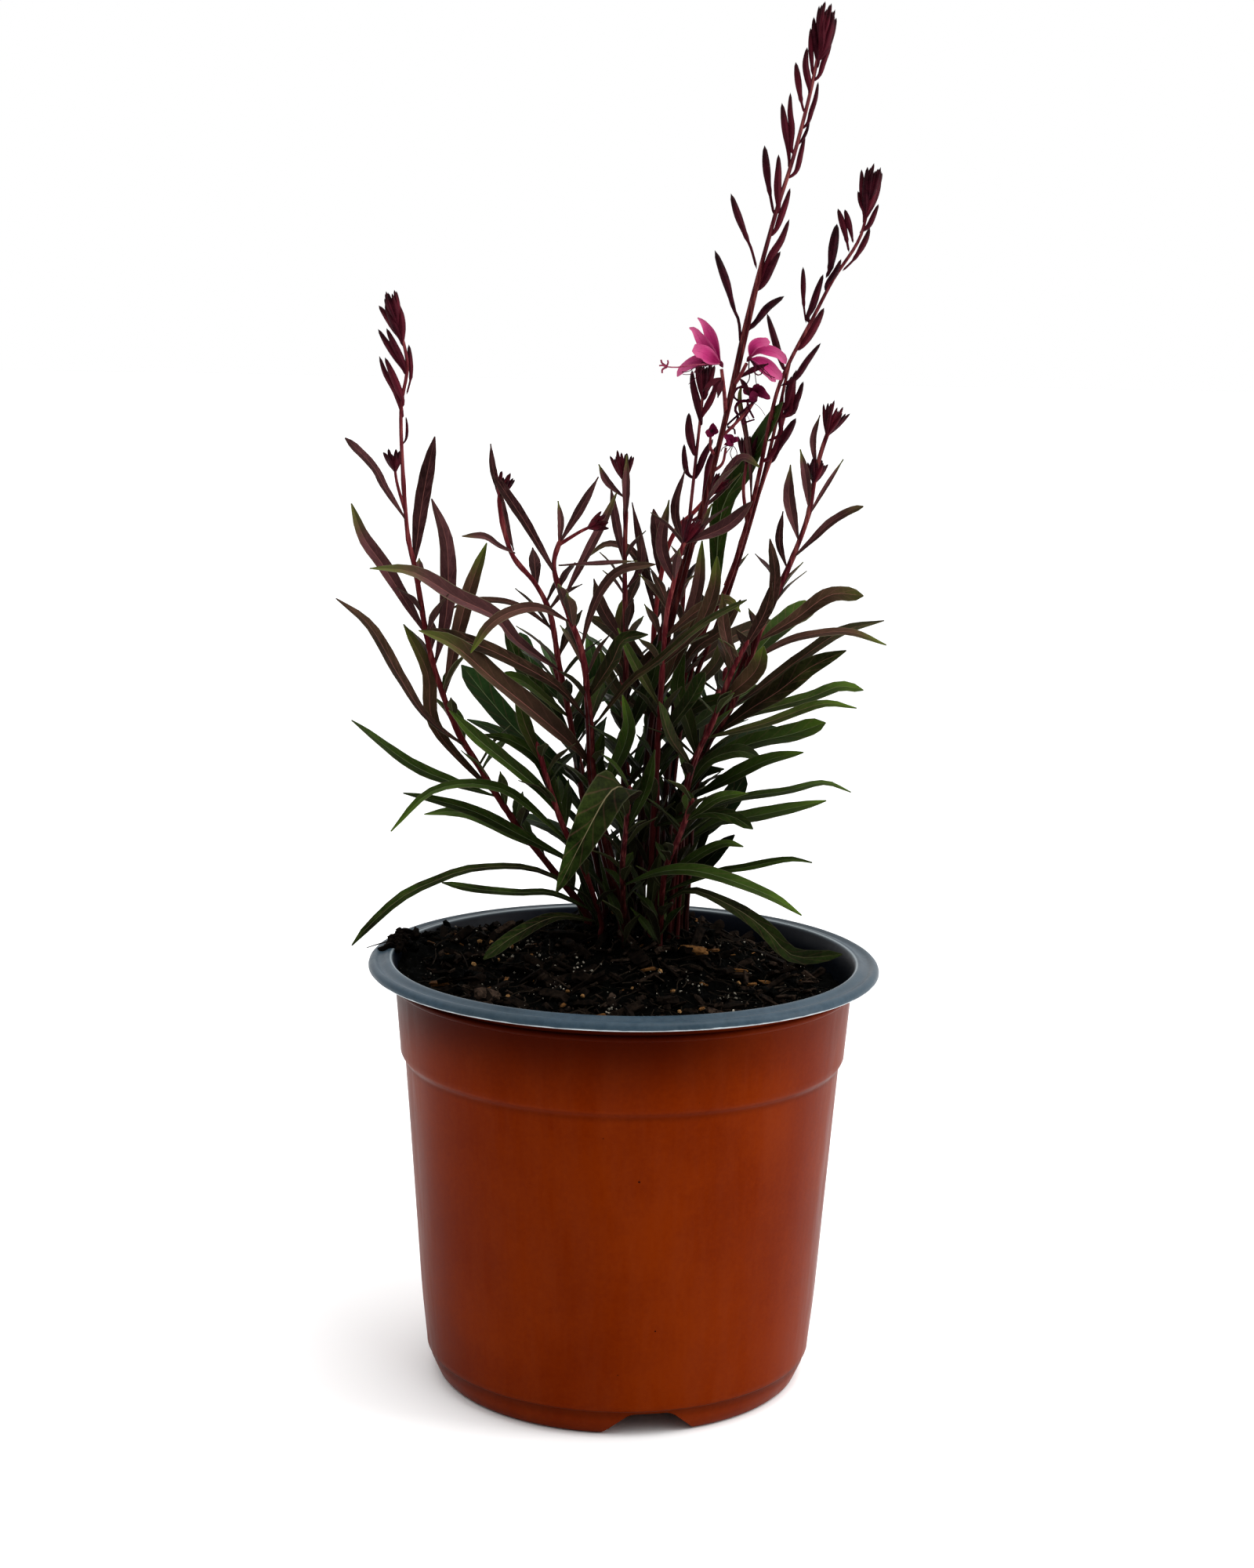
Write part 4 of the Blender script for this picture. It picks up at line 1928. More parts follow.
@dataclass(frozen=True)
class PlainFinish(Finish):
    """A rough natural stuff with two colours in clouds and a fine grain.

    rare says how few copies are light: the power of their chance.
    """

    level: float = 0.04
    tint: str = "c0b0a0"
    rough: tuple[float, float] = (0.8, 0.95)
    relief: tuple[float, float] = (0.7, 0.0004)
    dark: str = "0a0807"
    light: str = "2a211b"
    scale: float = 300.0
    fleck: str = ""
    rare: float = 0.8

    def dress(self, w: Wiring) -> tuple[Socket, Socket, Socket]:
        """Wires the two colours, by the copy's own chance, and the grain.

        Args:
            w: The material's wiring.

        Returns:
            The colour, the cloud that the roughness follows, and the height.
        """
        place = w.place()
        cloud = MOTTLE.use(w, Place=place, Scale=self.scale)
        lit = w.plus(0.15, w.times(w.math("POWER", w.marks()[1], self.rare), 0.95))
        skin = w.mix(w.times(cloud["Value"], lit), self.dark, self.light)
        if self.fleck:
            flecks = SPECKS.use(w, Place=place, Scale=self.scale * 3, Size=0.3, Share=0.05)
            skin = w.over(skin, self.fleck, flecks["Mask"])
        return skin, cloud["Value"], cloud["Height"]


@dataclass(frozen=True)
class PlasticFinish(Finish):
    """Thin formed plastic: faint clouds of shade, pits, fine scratches and a soft sheen."""

    level: float = 0.5
    tint: str = "ff8a50"
    ior: float = 1.09
    rough: tuple[float, float] = (0.3, 0.42)
    relief: tuple[float, float] = (0.2, 0.0002)
    shade: str = "5a1700"
    body: str = "6a2100"
    dust: str = "8c4c34"
    pit: str = "240804"
    pits: float = 0.14

    def dress(self, w: Wiring) -> tuple[Socket, Socket, Socket]:
        """Wires the plastic's colours, pits and scratches.

        Args:
            w: The material's wiring.

        Returns:
            The colour, the cloud that the roughness follows, and the height.
        """
        place = w.place()
        cloud = MOTTLE.use(w, Place=place, Scale=22.0, Fine=30.0)
        streaks = MOTTLE.use(w, Place=w.drawn(place, 0.12), Scale=90.0)["Value"]
        pits = SPECKS.use(w, Place=place, Scale=170.0, Size=0.055, Share=self.pits)["Mask"]
        leant = w.drawn(place, 0.1, (0.2, 0.3, 0))
        scratches = SPECKS.use(w, Place=leant, Scale=260.0, Size=0.08, Share=0.01)["Mask"]
        skin = w.mix(cloud["Value"], self.shade, self.body)
        skin = w.over(skin, self.dust, streaks, 0.06)
        skin = w.over(skin, self.dust, scratches, 0.4)
        skin = w.over(skin, self.pit, pits)
        return self.band(w, place, skin), streaks, w.minus(w.times(cloud["Height"], 0.2), pits)

    def band(self, w: Wiring, place: Socket, skin: Socket) -> Socket:
        """The deeper colour under the lip, which keeps dust and light away, and in the step lines.

        Args:
            w: The material's wiring.
            place: The place on the object.
            skin: The colour so far.

        Returns:
            The colour with it.
        """
        aside, _, height = w.split(place)
        under = w.times(w.ease(height, 0.11, 0.136, 0.0, 0.9), w.ease(aside, 0.005, 0.065, 1.0, 0.25))
        foot = w.times(w.ease(height, 0.0045, 0.0085), w.ease(height, 0.0093, 0.0097, 1.0, 0.0))
        step = w.times(w.ease(height, 0.1062, 0.1086), w.ease(height, 0.1095, 0.1105, 1.0, 0.0))
        skin = w.over(skin, "2a0501", under)
        skin = w.over(skin, "1c0501", foot, 0.4)
        return w.over(skin, "3c0e03", step, 0.35)


@dataclass(frozen=True)
class LipFinish(PlasticFinish):
    """The slate lining: pale where its edge is cut and where the mouth is worn."""

    worn: str = "b8c2c6"

    def band(self, w: Wiring, place: Socket, skin: Socket) -> Socket:
        """The pale line of the cut edge, the worn mouth and the darker wall inside.

        Args:
            w: The material's wiring.
            place: The place on the object.
            skin: The colour so far.

        Returns:
            The colour with them.
        """
        x, y, height = w.split(place)
        skin = w.over(skin, "0a1418", w.ease(y, 0.01, 0.07, 0.0, 0.6))
        far = w.vector("LENGTH", w.add("CombineXYZ", {0: x, 1: y}).outputs[0])["Value"]
        low = w.minus(height, w.times(w.noise(place, 160.0), 0.0009))
        cut = w.ease(low, POT_HEIGHT * MM - 0.0036, POT_HEIGHT * MM - 0.0031, 1.0, 0.0)
        skin = w.over(skin, self.worn, w.times(cut, w.ease(far, 0.0834, 0.084)), 0.95)
        beside = w.math("ABSOLUTE", w.minus(far, MOUTH_RADIUS * MM))
        skin = w.over(skin, self.worn, w.ease(beside, 0.0, 0.0006, 1.0, 0.0), 0.45)
        return w.over(skin, "060912", w.ease(far, 0.0766, 0.0777, 0.97, 0.0))


TERRACOTTA = PlasticFinish("terracotta_plastic")
SLATE = LipFinish(
    "slate_plastic", tint="ffffff", ior=1.2, shade="202f39", body="2b3d4a", dust="8c9ca4", pit="0c1216",
    pits=0.02,
)
PEAT = PlainFinish("peat_skin", dark="010101", light="040504", scale=520.0, fleck="2e2a24", level=0.02)
BARK = PlainFinish("bark_skin", dark="010101", light="40332a", scale=500.0, rare=5.0, level=0.02)
TAN_CHIP = PlainFinish("tan_chip", dark="2c1808", light="7c5630", scale=600.0, rough=(0.7, 0.9))
GRANULE = PlainFinish("granule_skin", dark="5a3a1c", light="94744c", scale=900.0, relief=(0.7, 0.0002))
PERLITE_SKIN = PlainFinish("perlite_skin", dark="4a463e", light="b4ac9c", scale=900.0, relief=(0.7, 0.0002))
FIBRE = PlainFinish("fibre", dark="060504", light="2e261e", scale=500.0, relief=(0.7, 0.0001))
STAMEN = PlainFinish("stamen_skin", dark="1a0610", light="5a1a2e", scale=500.0, relief=(0.7, 0.00005))
STYLE = PlainFinish("style_skin", dark="70203a", light="8e4458", scale=500.0, relief=(0.7, 0.00005))
BRONZE_LEAF = LeafFinish("bronze_leaf")
GREEN_LEAF = LeafFinish("green_leaf", green=("101d0e", "2e4822"), tip="466428")
RED_STALK = StalkFinish("red_stalk")
BUD_SKIN = BudFinish("bud_skin")
PETAL = PetalFinish("petal_skin")
WITHERED = PetalFinish("withered_skin", claw="1a020c", middle="44041e", edge="5a1230", vein="140307")


@dataclass
class Pot:
    """The nursery pot: a terracotta shell with a slate lining that is rolled out over the rim.

    Sizes are in millimetres, and pairs are (height, radius).
    """

    rim_radius: float = 85.0
    height: float = POT_HEIGHT
    wall: float = 1.2
    floor: float = 8.0
    lip_depth: float = 3.9
    mouth: float = MOUTH_RADIUS
    collar_top: tuple[float, float] = (134.6, 76.1)
    collar_foot: tuple[float, float] = (110.8, 74.3)
    body_top: tuple[float, float] = (108.8, 72.7)
    body_low: tuple[float, float] = (24.0, 66.6)
    body_foot: tuple[float, float] = (9.6, 65.0)
    foot_top: tuple[float, float] = (8.8, 63.9)
    foot_radius: float = 59.5
    foot_ring: float = 6.5
    steps: int = 180
    crease: float = 38.0
    notches: tuple[float, ...] = (10.0, 130.0, 250.0)
    notch_place: tuple[float, float] = (-59.0, 3.0)
    notch_size: tuple[float, float, float] = (17.6, 11.0, 5.0)
    notch_taper: float = 0.4
    notch_corner: float = 2.2
    drains: tuple[float, ...] = (36.0, 108.0, 180.0, 252.0, 324.0)
    drain_ring: float = 38.0
    drain_radius: float = 4.0
    drain_depth: float = 9.0

    def outside(self) -> list[tuple[float, float]]:
        """The shell's outer line as (radius, height), from the foot up to under the lip.

        Returns:
            The line's points.
        """
        foot, hollow = self.foot_radius, self.foot_radius - self.foot_ring
        (ring_z, ring), (heel_z, heel), (low_z, low) = self.foot_top, self.body_foot, self.body_low
        (top_z, top), (step_z, step), (bead_z, bead) = self.body_top, self.collar_foot, self.collar_top
        rim, lip = self.rim_radius, self.height - self.lip_depth
        line = [
            (0, self.floor), (hollow - 2, self.floor), (hollow - 0.6, self.floor - 0.5),
            (hollow, self.floor - 1.8), (hollow, 0.6), (hollow + 0.5, 0), (foot, 0), (foot + 1, 0.3),
            (foot + 2, 1.2), (foot + 2.9, 3.2), (ring - 0.1, 6.4), (ring, ring_z - 0.3),
            (ring + 0.25, ring_z), (heel - 0.25, heel_z - 0.5), (heel, heel_z - 0.15),
            (heel + 0.12, heel_z + 1.6), (low - 0.12, low_z),
        ]
        for share in (0.08, 0.25, 0.5, 0.75):
            line.append((low + share * (top - low), low_z + share * (top_z - low_z)))
        line += [
            (top, top_z - 0.8), (top + 0.1, top_z - 0.2), (top + 0.5, top_z + 0.3),
            (step - 0.35, step_z - 0.5), (step, step_z + 0.3), (step + 0.1, step_z + 2),
            (bead - 0.15, bead_z - 3),
        ]
        for turn in range(-80, 91, 34):
            angle = math.radians(turn)
            line.append((bead + 0.1 + math.cos(angle), bead_z + 1.1 * math.sin(angle)))
        line += [
            (bead + 0.3, lip - 0.7), (bead + 1.2, lip), (rim - 2.6, lip), (rim - 1.4, lip + 0.15),
            (rim - 0.7, lip + 0.6),
        ]
        return line

    def inside(self) -> list[tuple[float, float]]:
        """The lining's upper line as (radius, height), from the lip's edge down to the floor.

        Returns:
            The line's points.
        """
        rim, top, mouth = self.rim_radius, self.height, self.mouth
        lip, base, heel = top - self.lip_depth, self.floor + self.wall, self.body_foot[1] - self.wall
        line = [
            (rim - 0.35, lip + 0.7), (rim, lip + 1.1), (rim, top - 2.3), (rim - 0.25, top - 1.5),
            (rim - 0.8, top - 0.9), (rim - 1.6, top - 0.45), (rim - 2.3, top - 0.55), (rim - 2.9, top - 1.0),
            (rim - 3.6, top - 1.15), (rim - 4.4, top - 0.95), (rim - 5.2, top - 0.5), (rim - 5.9, top - 0.1),
            (rim - 6.5, top), (mouth + 0.3, top - 0.1), (mouth - 0.3, top - 0.4), (mouth - 0.9, top - 1.2),
            (mouth - 1.7, top - 3.4), (mouth - 2.3, top - 5.4),
        ]
        down = ((self.collar_top, 0), (self.collar_foot, 0), (self.body_top, -0.8), (self.body_low, 0))
        line += [(radius - self.wall, z + more) for (z, radius), more in down]
        line += [(heel, self.body_foot[0] + 2.4), (heel - 1.6, base + 0.5), (heel - 3, base), (0, base)]
        return line

    def between(self, share: float) -> list[tuple[float, float]]:
        """The line in the wall at a share of its thickness, from the lip's edge down to the axis.

        Args:
            share: The share of the thickness.

        Returns:
            The line's points.
        """
        rim, under, half = self.rim_radius, self.height - self.lip_depth, self.wall * share
        bead, heel = self.collar_top[1], self.body_foot[1]
        line = [(rim - 0.9, under + 1), (rim - 2.4, under + 0.8)]
        line += [(bead + 1.5, under + 0.8), (bead + 0.2, under + 0.1)]
        down = (
            (self.collar_top, -0.4), (self.collar_foot, 0), (self.body_top, -0.7), (self.body_low, 0),
            (self.body_foot, 1.6),
        )
        line += [(radius - half, z + more) for (z, radius), more in down]
        line += [(heel - self.wall - 2.2, self.floor + half), (0, self.floor + half)]
        return line

    def cut(self, piece: bpy.types.Object, cutter: bpy.types.Object) -> None:
        """Cuts one piece by another with a Boolean modifier, and removes the cutter.

        Args:
            piece: The object.
            cutter: What is cut out of it.
        """
        alone(piece)
        boolean = piece.modifiers.new("cut", "BOOLEAN")
        boolean.operation = "DIFFERENCE"
        boolean.solver = "EXACT"
        boolean.object = cutter
        bpy.ops.object.modifier_apply(modifier="cut")
        bpy.data.objects.remove(cutter)

    def notch(self, turn: float) -> bpy.types.Object:
        """A rounded wedge that cuts a drain notch through the foot ring, at a turn in degrees.

        Args:
            turn: The turn round the axis, in degrees.

        Returns:
            The cutter.
        """
        depth, middle = (share * MM for share in self.notch_place)
        sizes = tuple(size * MM for size in self.notch_size)
        cube = bpy.ops.mesh.primitive_cube_add
        cutter = primitive("notch", cube, size=2, location=(0, depth, middle), scale=sizes)
        bpy.ops.object.transform_apply(location=True, rotation=True, scale=True)
        for vertex in cutter.data.vertices:
            if vertex.co.z > middle:
                vertex.co.x *= self.notch_taper
        for edge in cutter.data.edges:
            a, b = (cutter.data.vertices[v].co for v in edge.vertices)
            edge.select = abs(a.y - b.y) > sizes[1] and a.z > middle
        bpy.context.tool_settings.mesh_select_mode = (False, True, False)
        bpy.ops.object.mode_set(mode="EDIT")
        bpy.ops.mesh.bevel(offset=self.notch_corner * MM, segments=6, affect="EDGES")
        bpy.ops.object.mode_set(mode="OBJECT")
        cutter.data.transform(Matrix.Rotation(math.radians(turn), 4, "Z"))
        return cutter

    def drain(self, turn: float) -> bpy.types.Object:
        """A round cutter for one drain hole in the floor, at a turn in degrees.

        Args:
            turn: The turn round the axis, in degrees.

        Returns:
            The cutter.
        """
        far, angle = self.drain_ring * MM, math.radians(turn)
        place = (far * math.cos(angle), far * math.sin(angle), self.floor * MM)
        rod = bpy.ops.mesh.primitive_cylinder_add
        radius, depth = self.drain_radius * MM, self.drain_depth * MM
        cutter = primitive("drain", rod, vertices=24, radius=radius, depth=depth, location=place)
        bpy.ops.object.transform_apply(location=True, rotation=True, scale=True)
        return cutter

    def build(self) -> None:
        """Builds and dresses the shell and the lining."""
        shell = lathe("pot_shell", [*self.outside(), *self.between(0.5)], self.steps)
        lining = lathe("pot_lining", [*reversed(self.between(0.45)), *self.inside()], self.steps)
        for turn in self.notches:
            self.cut(shell, self.notch(turn))
        for piece in (shell, lining):
            for turn in self.drains:
                self.cut(piece, self.drain(turn))
            alone(piece)
            bpy.ops.object.shade_smooth_by_angle(angle=math.radians(self.crease))
        finished(shell, TERRACOTTA, Slot.POT, ["pot"])
        finished(lining, SLATE, Slot.LINING, ["pot"])


@dataclass
class Soil:
    """The peat that fills the pot, with bark, chips, perlite and fibres on it.

    Sizes are in millimetres. grain_groups: (x, y, how many). granule_rows: (x, y, radius).
    laid_chips: a place as scatter takes it.
    """

    lip_top: float = POT_HEIGHT - 0.4
    lip_start: float = 74.0
    wall_reach: float = 73.4
    spot_reach: float = 71.0
    base: float = 112.0
    level: float = 133.0
    rings: int = 120
    steps: int = 340
    chips: int = 760
    lip_chips: int = 46
    tan_chips: int = 44
    grains: int = 300
    fibres: int = 300
    clods: int = 150
    wall_clods: int = 60
    grain_groups: Rows = (
        (-38, 6, 16), (-33, 12, 12), (-27, -4, 14), (-14, -12, 10), (-50, 2, 8), (10, -16, 12),
        (22, -20, 14), (34, -26, 12), (-22, -30, 16), (44, -10, 10), (-2, -44, 12), (30, 8, 8),
    )
    granule_rows: Rows = (
        (-49, 12, 1.1), (-45, 12, 1.2), (-38, 7, 1.1), (-42, -1, 0.8), (-4, 24, 1.0), (-37, -34, 1.3),
        (-18, -30, 0.8), (-50, -3, 1.2), (-13, -34, 0.9), (12, -15, 1.1), (-59, 3, 1.3), (3, -26, 0.9),
        (16, -26, 1.0), (18, -44, 0.9), (-31, 0, 0.8), (38, -14, 0.9),
    )
    laid_chips: Rows = (
        (23, 2, (4.8, 1.7, 0.9), (0.25, 0.05, -0.12), 1.6, 0.9),
        (38, -6, (2.9, 0.6, 0.5), (0, 0, -0.1), 1.3, 0.8),
        (46, -7, (2.4, 0.6, 0.5), (0, 0, -0.1), 1.1, 0.9),
        (19, 44, (3.4, 1.5, 0.8), (0.5, 0.2, 1.1), 1.6, 0.25),
        (30, 5, (2.6, 0.5, 0.4), (0.2, 0.1, 0.7), 1.4, 0.3),
        (-60, -22, (3.2, 1.1, 0.6), (0.1, 0, 0.2), 1.2, 0.0),
    )
    lip_fibre: Rows = ((-70.0, 14.0, 141.6), (-76.0, 12.0, 143.6), (-81.0, 9.0, 143.2), (-86.5, 5.0, 142.2))

    def inner_radius(self, z: float) -> float:
        """The radius of the pot's inner wall near the soil's surface, less a small gap.

        Args:
            z: The height, in millimetres.

        Returns:
            The radius, in millimetres.
        """
        pot = Pot()
        share = (z - pot.collar_foot[0]) / (pot.collar_top[0] - pot.collar_foot[0])
        wide = pot.collar_foot[1] + (pot.collar_top[1] - pot.collar_foot[1]) * share
        return wide - pot.wall - 0.15 + 0.25 * max(z - 136, 0)

    def mound(self) -> None:
        """The soil's body, spun round the axis, with its top roughened into clods and crumbs."""
        full = self.inner_radius(self.level)
        top = [(full * (i / self.rings) ** 0.8, self.level) for i in range(self.rings + 1)]
        outline = [*top, (self.inner_radius(self.base), self.base), (0, self.base)]
        piece = lathe("soil_mound", outline, self.steps)
        co = coordinates(piece.data) / MM
        for row in co:
            x, y, z = row
            if z < 125:
                continue
            spot = Vector((x, y, 0))
            clods = noise.fractal(spot / 7.5, 0.9, 2.1, 3)
            crumbs = noise.turbulence(spot / 2.2, 3, False)
            grit = noise.noise(spot / 0.8)
            row[2] = GROUND.height(x, y) + 0.9 * clods + 1.3 * (crumbs - 0.35) + 0.28 * grit
            row[:2] *= self.inner_radius(min(row[2], 140)) / full
        piece.data.vertices.foreach_set("co", (co * MM).ravel())
        piece.data.update()
        alone(piece)
        bpy.ops.object.shade_smooth()
        marks = piece.data.attributes.new("mark", "FLOAT_COLOR", "POINT")
        tint = np.array([(0, 0.5 + 0.5 * noise.noise(Vector(p) / 9), 0, 1) for p in co])
        marks.data.foreach_set("color", tint.ravel())
        finished(piece, PEAT, Slot.SOIL, ["soil"])

    def spots(self, draw: Draw, count: int, spare: float) -> Iterator[tuple[float, float]]:
        """Places spread evenly over the soil, with a margin to the wall.

        Args:
            draw: Draws the next random number.
            count: How many.
            spare: The margin, in millimetres.

        Returns:
            An iterator over the places.
        """
        for i in range(count):
            far = (self.spot_reach - spare) * math.sqrt((i + draw()) / count)
            turn = math.radians(GOLDEN_ANGLE * i + 30 * draw())
            yield far * math.cos(turn), far * math.sin(turn)

    def scatter(
        self, name: str, finish: Finish, patterns: Sequence[Pattern], places: Iterator[tuple], slot: Slot
    ) -> None:
        """Lays copies of patterns on the soil.

        Args:
            name: The piece's name.
            finish: Its material.
            patterns: The forms that are copied in turn.
            places: (x, y, sizes, turns, height over the soil, chance) for each copy.
            slot: Its slot.
        """
        cluster = Cluster()
        for i, (x, y, sizes, turns, sunk, chance) in enumerate(places):
            pattern = patterns[i % len(patterns)]
            turn = np.array(Euler(turns).to_matrix())
            points = (pattern.points * sizes) @ turn.T
            over_lip = math.hypot(x, y) > self.lip_start
            points += (x, y, (self.lip_top if over_lip else float(GROUND.height(x, y))) + sunk)
            if not over_lip:
                far = np.hypot(points[:, 0], points[:, 1])
                points[:, :2] *= np.minimum(1, self.wall_reach / np.maximum(far, 1))[:, None]
            cluster.add(pattern, points, pattern.points[:, :2] * 0.5, (0, chance, 0, 1))
        finished(cluster.build(name, 30), finish, slot, ["soil"])

    def bark(self, draw: Draw) -> Iterator[tuple]:
        """Places of the bark flakes, the last of them on the lip at the left.

        Args:
            draw: Draws the next random number.

        Returns:
            An iterator over places as scatter takes them.
        """
        for x, y in self.spots(draw, self.chips, 4):
            size = 0.6 + 3.6 * draw() ** 4
            sizes = (size * (0.9 + 1.3 * draw()), size * (0.3 + 0.4 * draw()), 0.25 + 0.3 * size * draw())
            turns = (1.6 * (draw() - 0.5), 1.2 * (draw() - 0.5), FULL_TURN * draw())
            yield x, y, sizes, turns, 0.4 + 0.9 * draw(), draw()
        for _ in range(self.lip_chips):
            turn, far = math.radians(170 + 16 * (draw() - 0.5)), 74.2 + 6.4 * draw()
            size = 0.5 + 1.1 * draw()
            turns = (3 * draw(), 3 * draw(), FULL_TURN * draw())
            sizes = (size * (1 + draw()), size * (0.5 + 0.4 * draw()), size * (0.4 + 0.4 * draw()))
            yield far * math.cos(turn), far * math.sin(turn), sizes, turns, 0.3 + 1.3 * draw(), 0.3 * draw()

    def lumps(self, draw: Draw) -> Iterator[tuple]:
        """Places of the peat clods, the last of them along the wall behind the left.

        Args:
            draw: Draws the next random number.

        Returns:
            An iterator over places as scatter takes them.
        """
        for x, y in self.spots(draw, self.clods, 5):
            size = 1.0 + 2.6 * draw() ** 2
            sizes = (size, size * (0.6 + 0.4 * draw()), size * 0.6)
            yield x, y, sizes, (draw(), draw(), 6 * draw()), 0.3, draw()
        for _ in range(self.wall_clods):
            turn = math.radians(172 - 42 * draw())
            far = 70.5 + 5.0 * draw() * draw()
            size = 0.7 + 1.3 * draw()
            turns = (draw(), draw(), 6 * draw())
            sizes = (size * 1.3, size, size * 0.8)
            yield far * math.cos(turn), far * math.sin(turn), sizes, turns, 0.4 * draw(), 0.2

    def splinters(self, draw: Draw) -> Iterator[tuple]:
        """Places of the tan chips, after the few that lie where the photograph has them.

        Args:
            draw: Draws the next random number.

        Returns:
            An iterator over places as scatter takes them.
        """
        yield from self.laid_chips
        for x, y in self.spots(draw, self.tan_chips, 4):
            size = 0.5 + 1.3 * draw() ** 2
            turns = (0.8 * (draw() - 0.5), 0.8 * (draw() - 0.5), FULL_TURN * draw())
            yield x, y, (size * 1.5, size * 0.5, size * 0.35), turns, 0.9, draw()

    def perlite(self, draw: Draw) -> Iterator[tuple]:
        """Places of the pale grains, the last of them in groups.

        Args:
            draw: Draws the next random number.

        Returns:
            An iterator over places as scatter takes them.
        """
        for x, y in self.spots(draw, self.grains, 3):
            size = 0.14 + 0.42 * draw() ** 4
            sizes = (size, size * (0.7 + 0.3 * draw()), size * 0.8)
            yield x, y, sizes, (3 * draw(), 3 * draw(), 0), 0.7 + 0.7 * draw(), draw()
        for x, y, count in self.grain_groups:
            for _ in range(count):
                size = 0.2 + 0.42 * draw() ** 2
                near, deep = x + 4.6 * (draw() + draw() - 1), y + 7 * (draw() + draw() - 1)
                sizes = (size, size * 0.8, size * 0.8)
                yield near, deep, sizes, (3 * draw(), 3 * draw(), 0), 0.8 + 0.6 * draw(), draw()

    def granules(self, draw: Draw) -> Iterator[tuple]:
        """Places of the tan granules."""
        for x, y, size in self.granule_rows:
            yield x, y, (size, 0.85 * size, 0.8 * size), (draw(), draw(), 3 * draw()), 1.1, draw()

    def strands(self, draw: Draw) -> None:
        """Lays thin peat fibres over the soil, and one over the lip.

        Args:
            draw: Draws the next random number.
        """
        pattern = rod_pattern(3, 5)
        uv = pattern.points[:, :2]
        cluster = Cluster()
        for x, y in self.spots(draw, self.fibres, 5):
            long, turn = 4 + 9 * draw(), FULL_TURN * draw()
            ends = []
            for share in (-0.5, -0.15, 0.2, 0.5):
                px = x + long * share * math.cos(turn) + 1.4 * (draw() - 0.5)
                py = y + long * share * math.sin(turn) + 1.4 * (draw() - 0.5)
                far = max(math.hypot(px, py) / GROUND.reach, 1)
                px, py = px / far, py / far
                ends.append(np.array([px, py, float(GROUND.height(px, py)) + 0.7 + 1.1 * draw()]))
            radius = 0.12 + 0.16 * draw()
            cluster.add(pattern, tube(pattern, Course(ends, 12), radius), uv, (0, draw(), 0, 1))
        way = Course(self.lip_fibre, 12)
        cluster.add(pattern, tube(pattern, way, lambda s: 0.5 - 0.32 * s), uv, (0, 1.0, 0, 1))
        finished(cluster.build("peat_fibres", 60), FIBRE, Slot.SOIL, ["soil"])

    def build(self) -> None:
        """Builds the mound and all that lies on it, from one row of random draws."""
        self.mound()
        draw = seeded(Seed.SOIL.value)
        chips = [chip_pattern(seed) for seed in range(5)]
        clods = [grain_pattern(seed + 5) for seed in range(4)]
        grains = [grain_pattern(seed) for seed in range(4)]
        self.scatter("bark_chips", BARK, chips, self.bark(draw), Slot.BARK)
        self.scatter("peat_clods", PEAT, clods, self.lumps(draw), Slot.SOIL)
        self.scatter("tan_chips", TAN_CHIP, chips, self.splinters(draw), Slot.BARK)
        self.scatter("perlite_grains", PERLITE_SKIN, grains, self.perlite(draw), Slot.PERLITE)
        self.scatter("tan_granules", GRANULE, grains, self.granules(draw), Slot.BARK)
        self.strands(draw)


def frame_along(way: Course, s: np.ndarray, facing: np.ndarray) -> tuple[np.ndarray, np.ndarray]:
    """The directions across and out of a blade whose upper face looks towards facing.

    Args:
        way: The course.
        s: Shares of its length.
        facing: Where the upper face looks.

    Returns:
        The two directions at each share.
    """
    along = way.heading(s)
    across = unit(np.cross(along, np.broadcast_to(facing, along.shape)))
    return across, unit(np.cross(across, along))


def tube(pattern: Pattern, way: Course, radius: float | np.ndarray | Callable) -> np.ndarray:
    """A rod's or a spindle's points along a course.

    Args:
        pattern: Its form.
        way: Its course.
        radius: Its radius in millimetres: one for all, a column of them, or a function of the share.

    Returns:
        The points, in millimetres.
    """
    s = pattern.points[:, 0]
    reach = radius(s)[:, None] if callable(radius) else radius
    across, out = frame_along(way, s, BACK)
    return way.at(s) + reach * (pattern.points[:, 1:2] * across + pattern.points[:, 2:3] * out)


def tapered(thick: float, taper: float) -> Callable[[np.ndarray], np.ndarray]:
    """A radius that shrinks by a share towards the end."""
    return lambda s: thick * (1 - taper * s)


def wrapped(pattern: Pattern) -> np.ndarray:
    """A rod's or a spindle's own map: the share along it and the share round it."""
    p = pattern.points
    return np.stack([p[:, 0], np.arctan2(p[:, 2], p[:, 1]) / (2 * math.pi) + 0.5], axis=1)


def spread_out(pattern: Pattern) -> np.ndarray:
    """A blade's own map: the share along it and the share across it."""
    p = pattern.points
    return np.stack([p[:, 0], p[:, 1] * 0.5 + 0.5], axis=1)


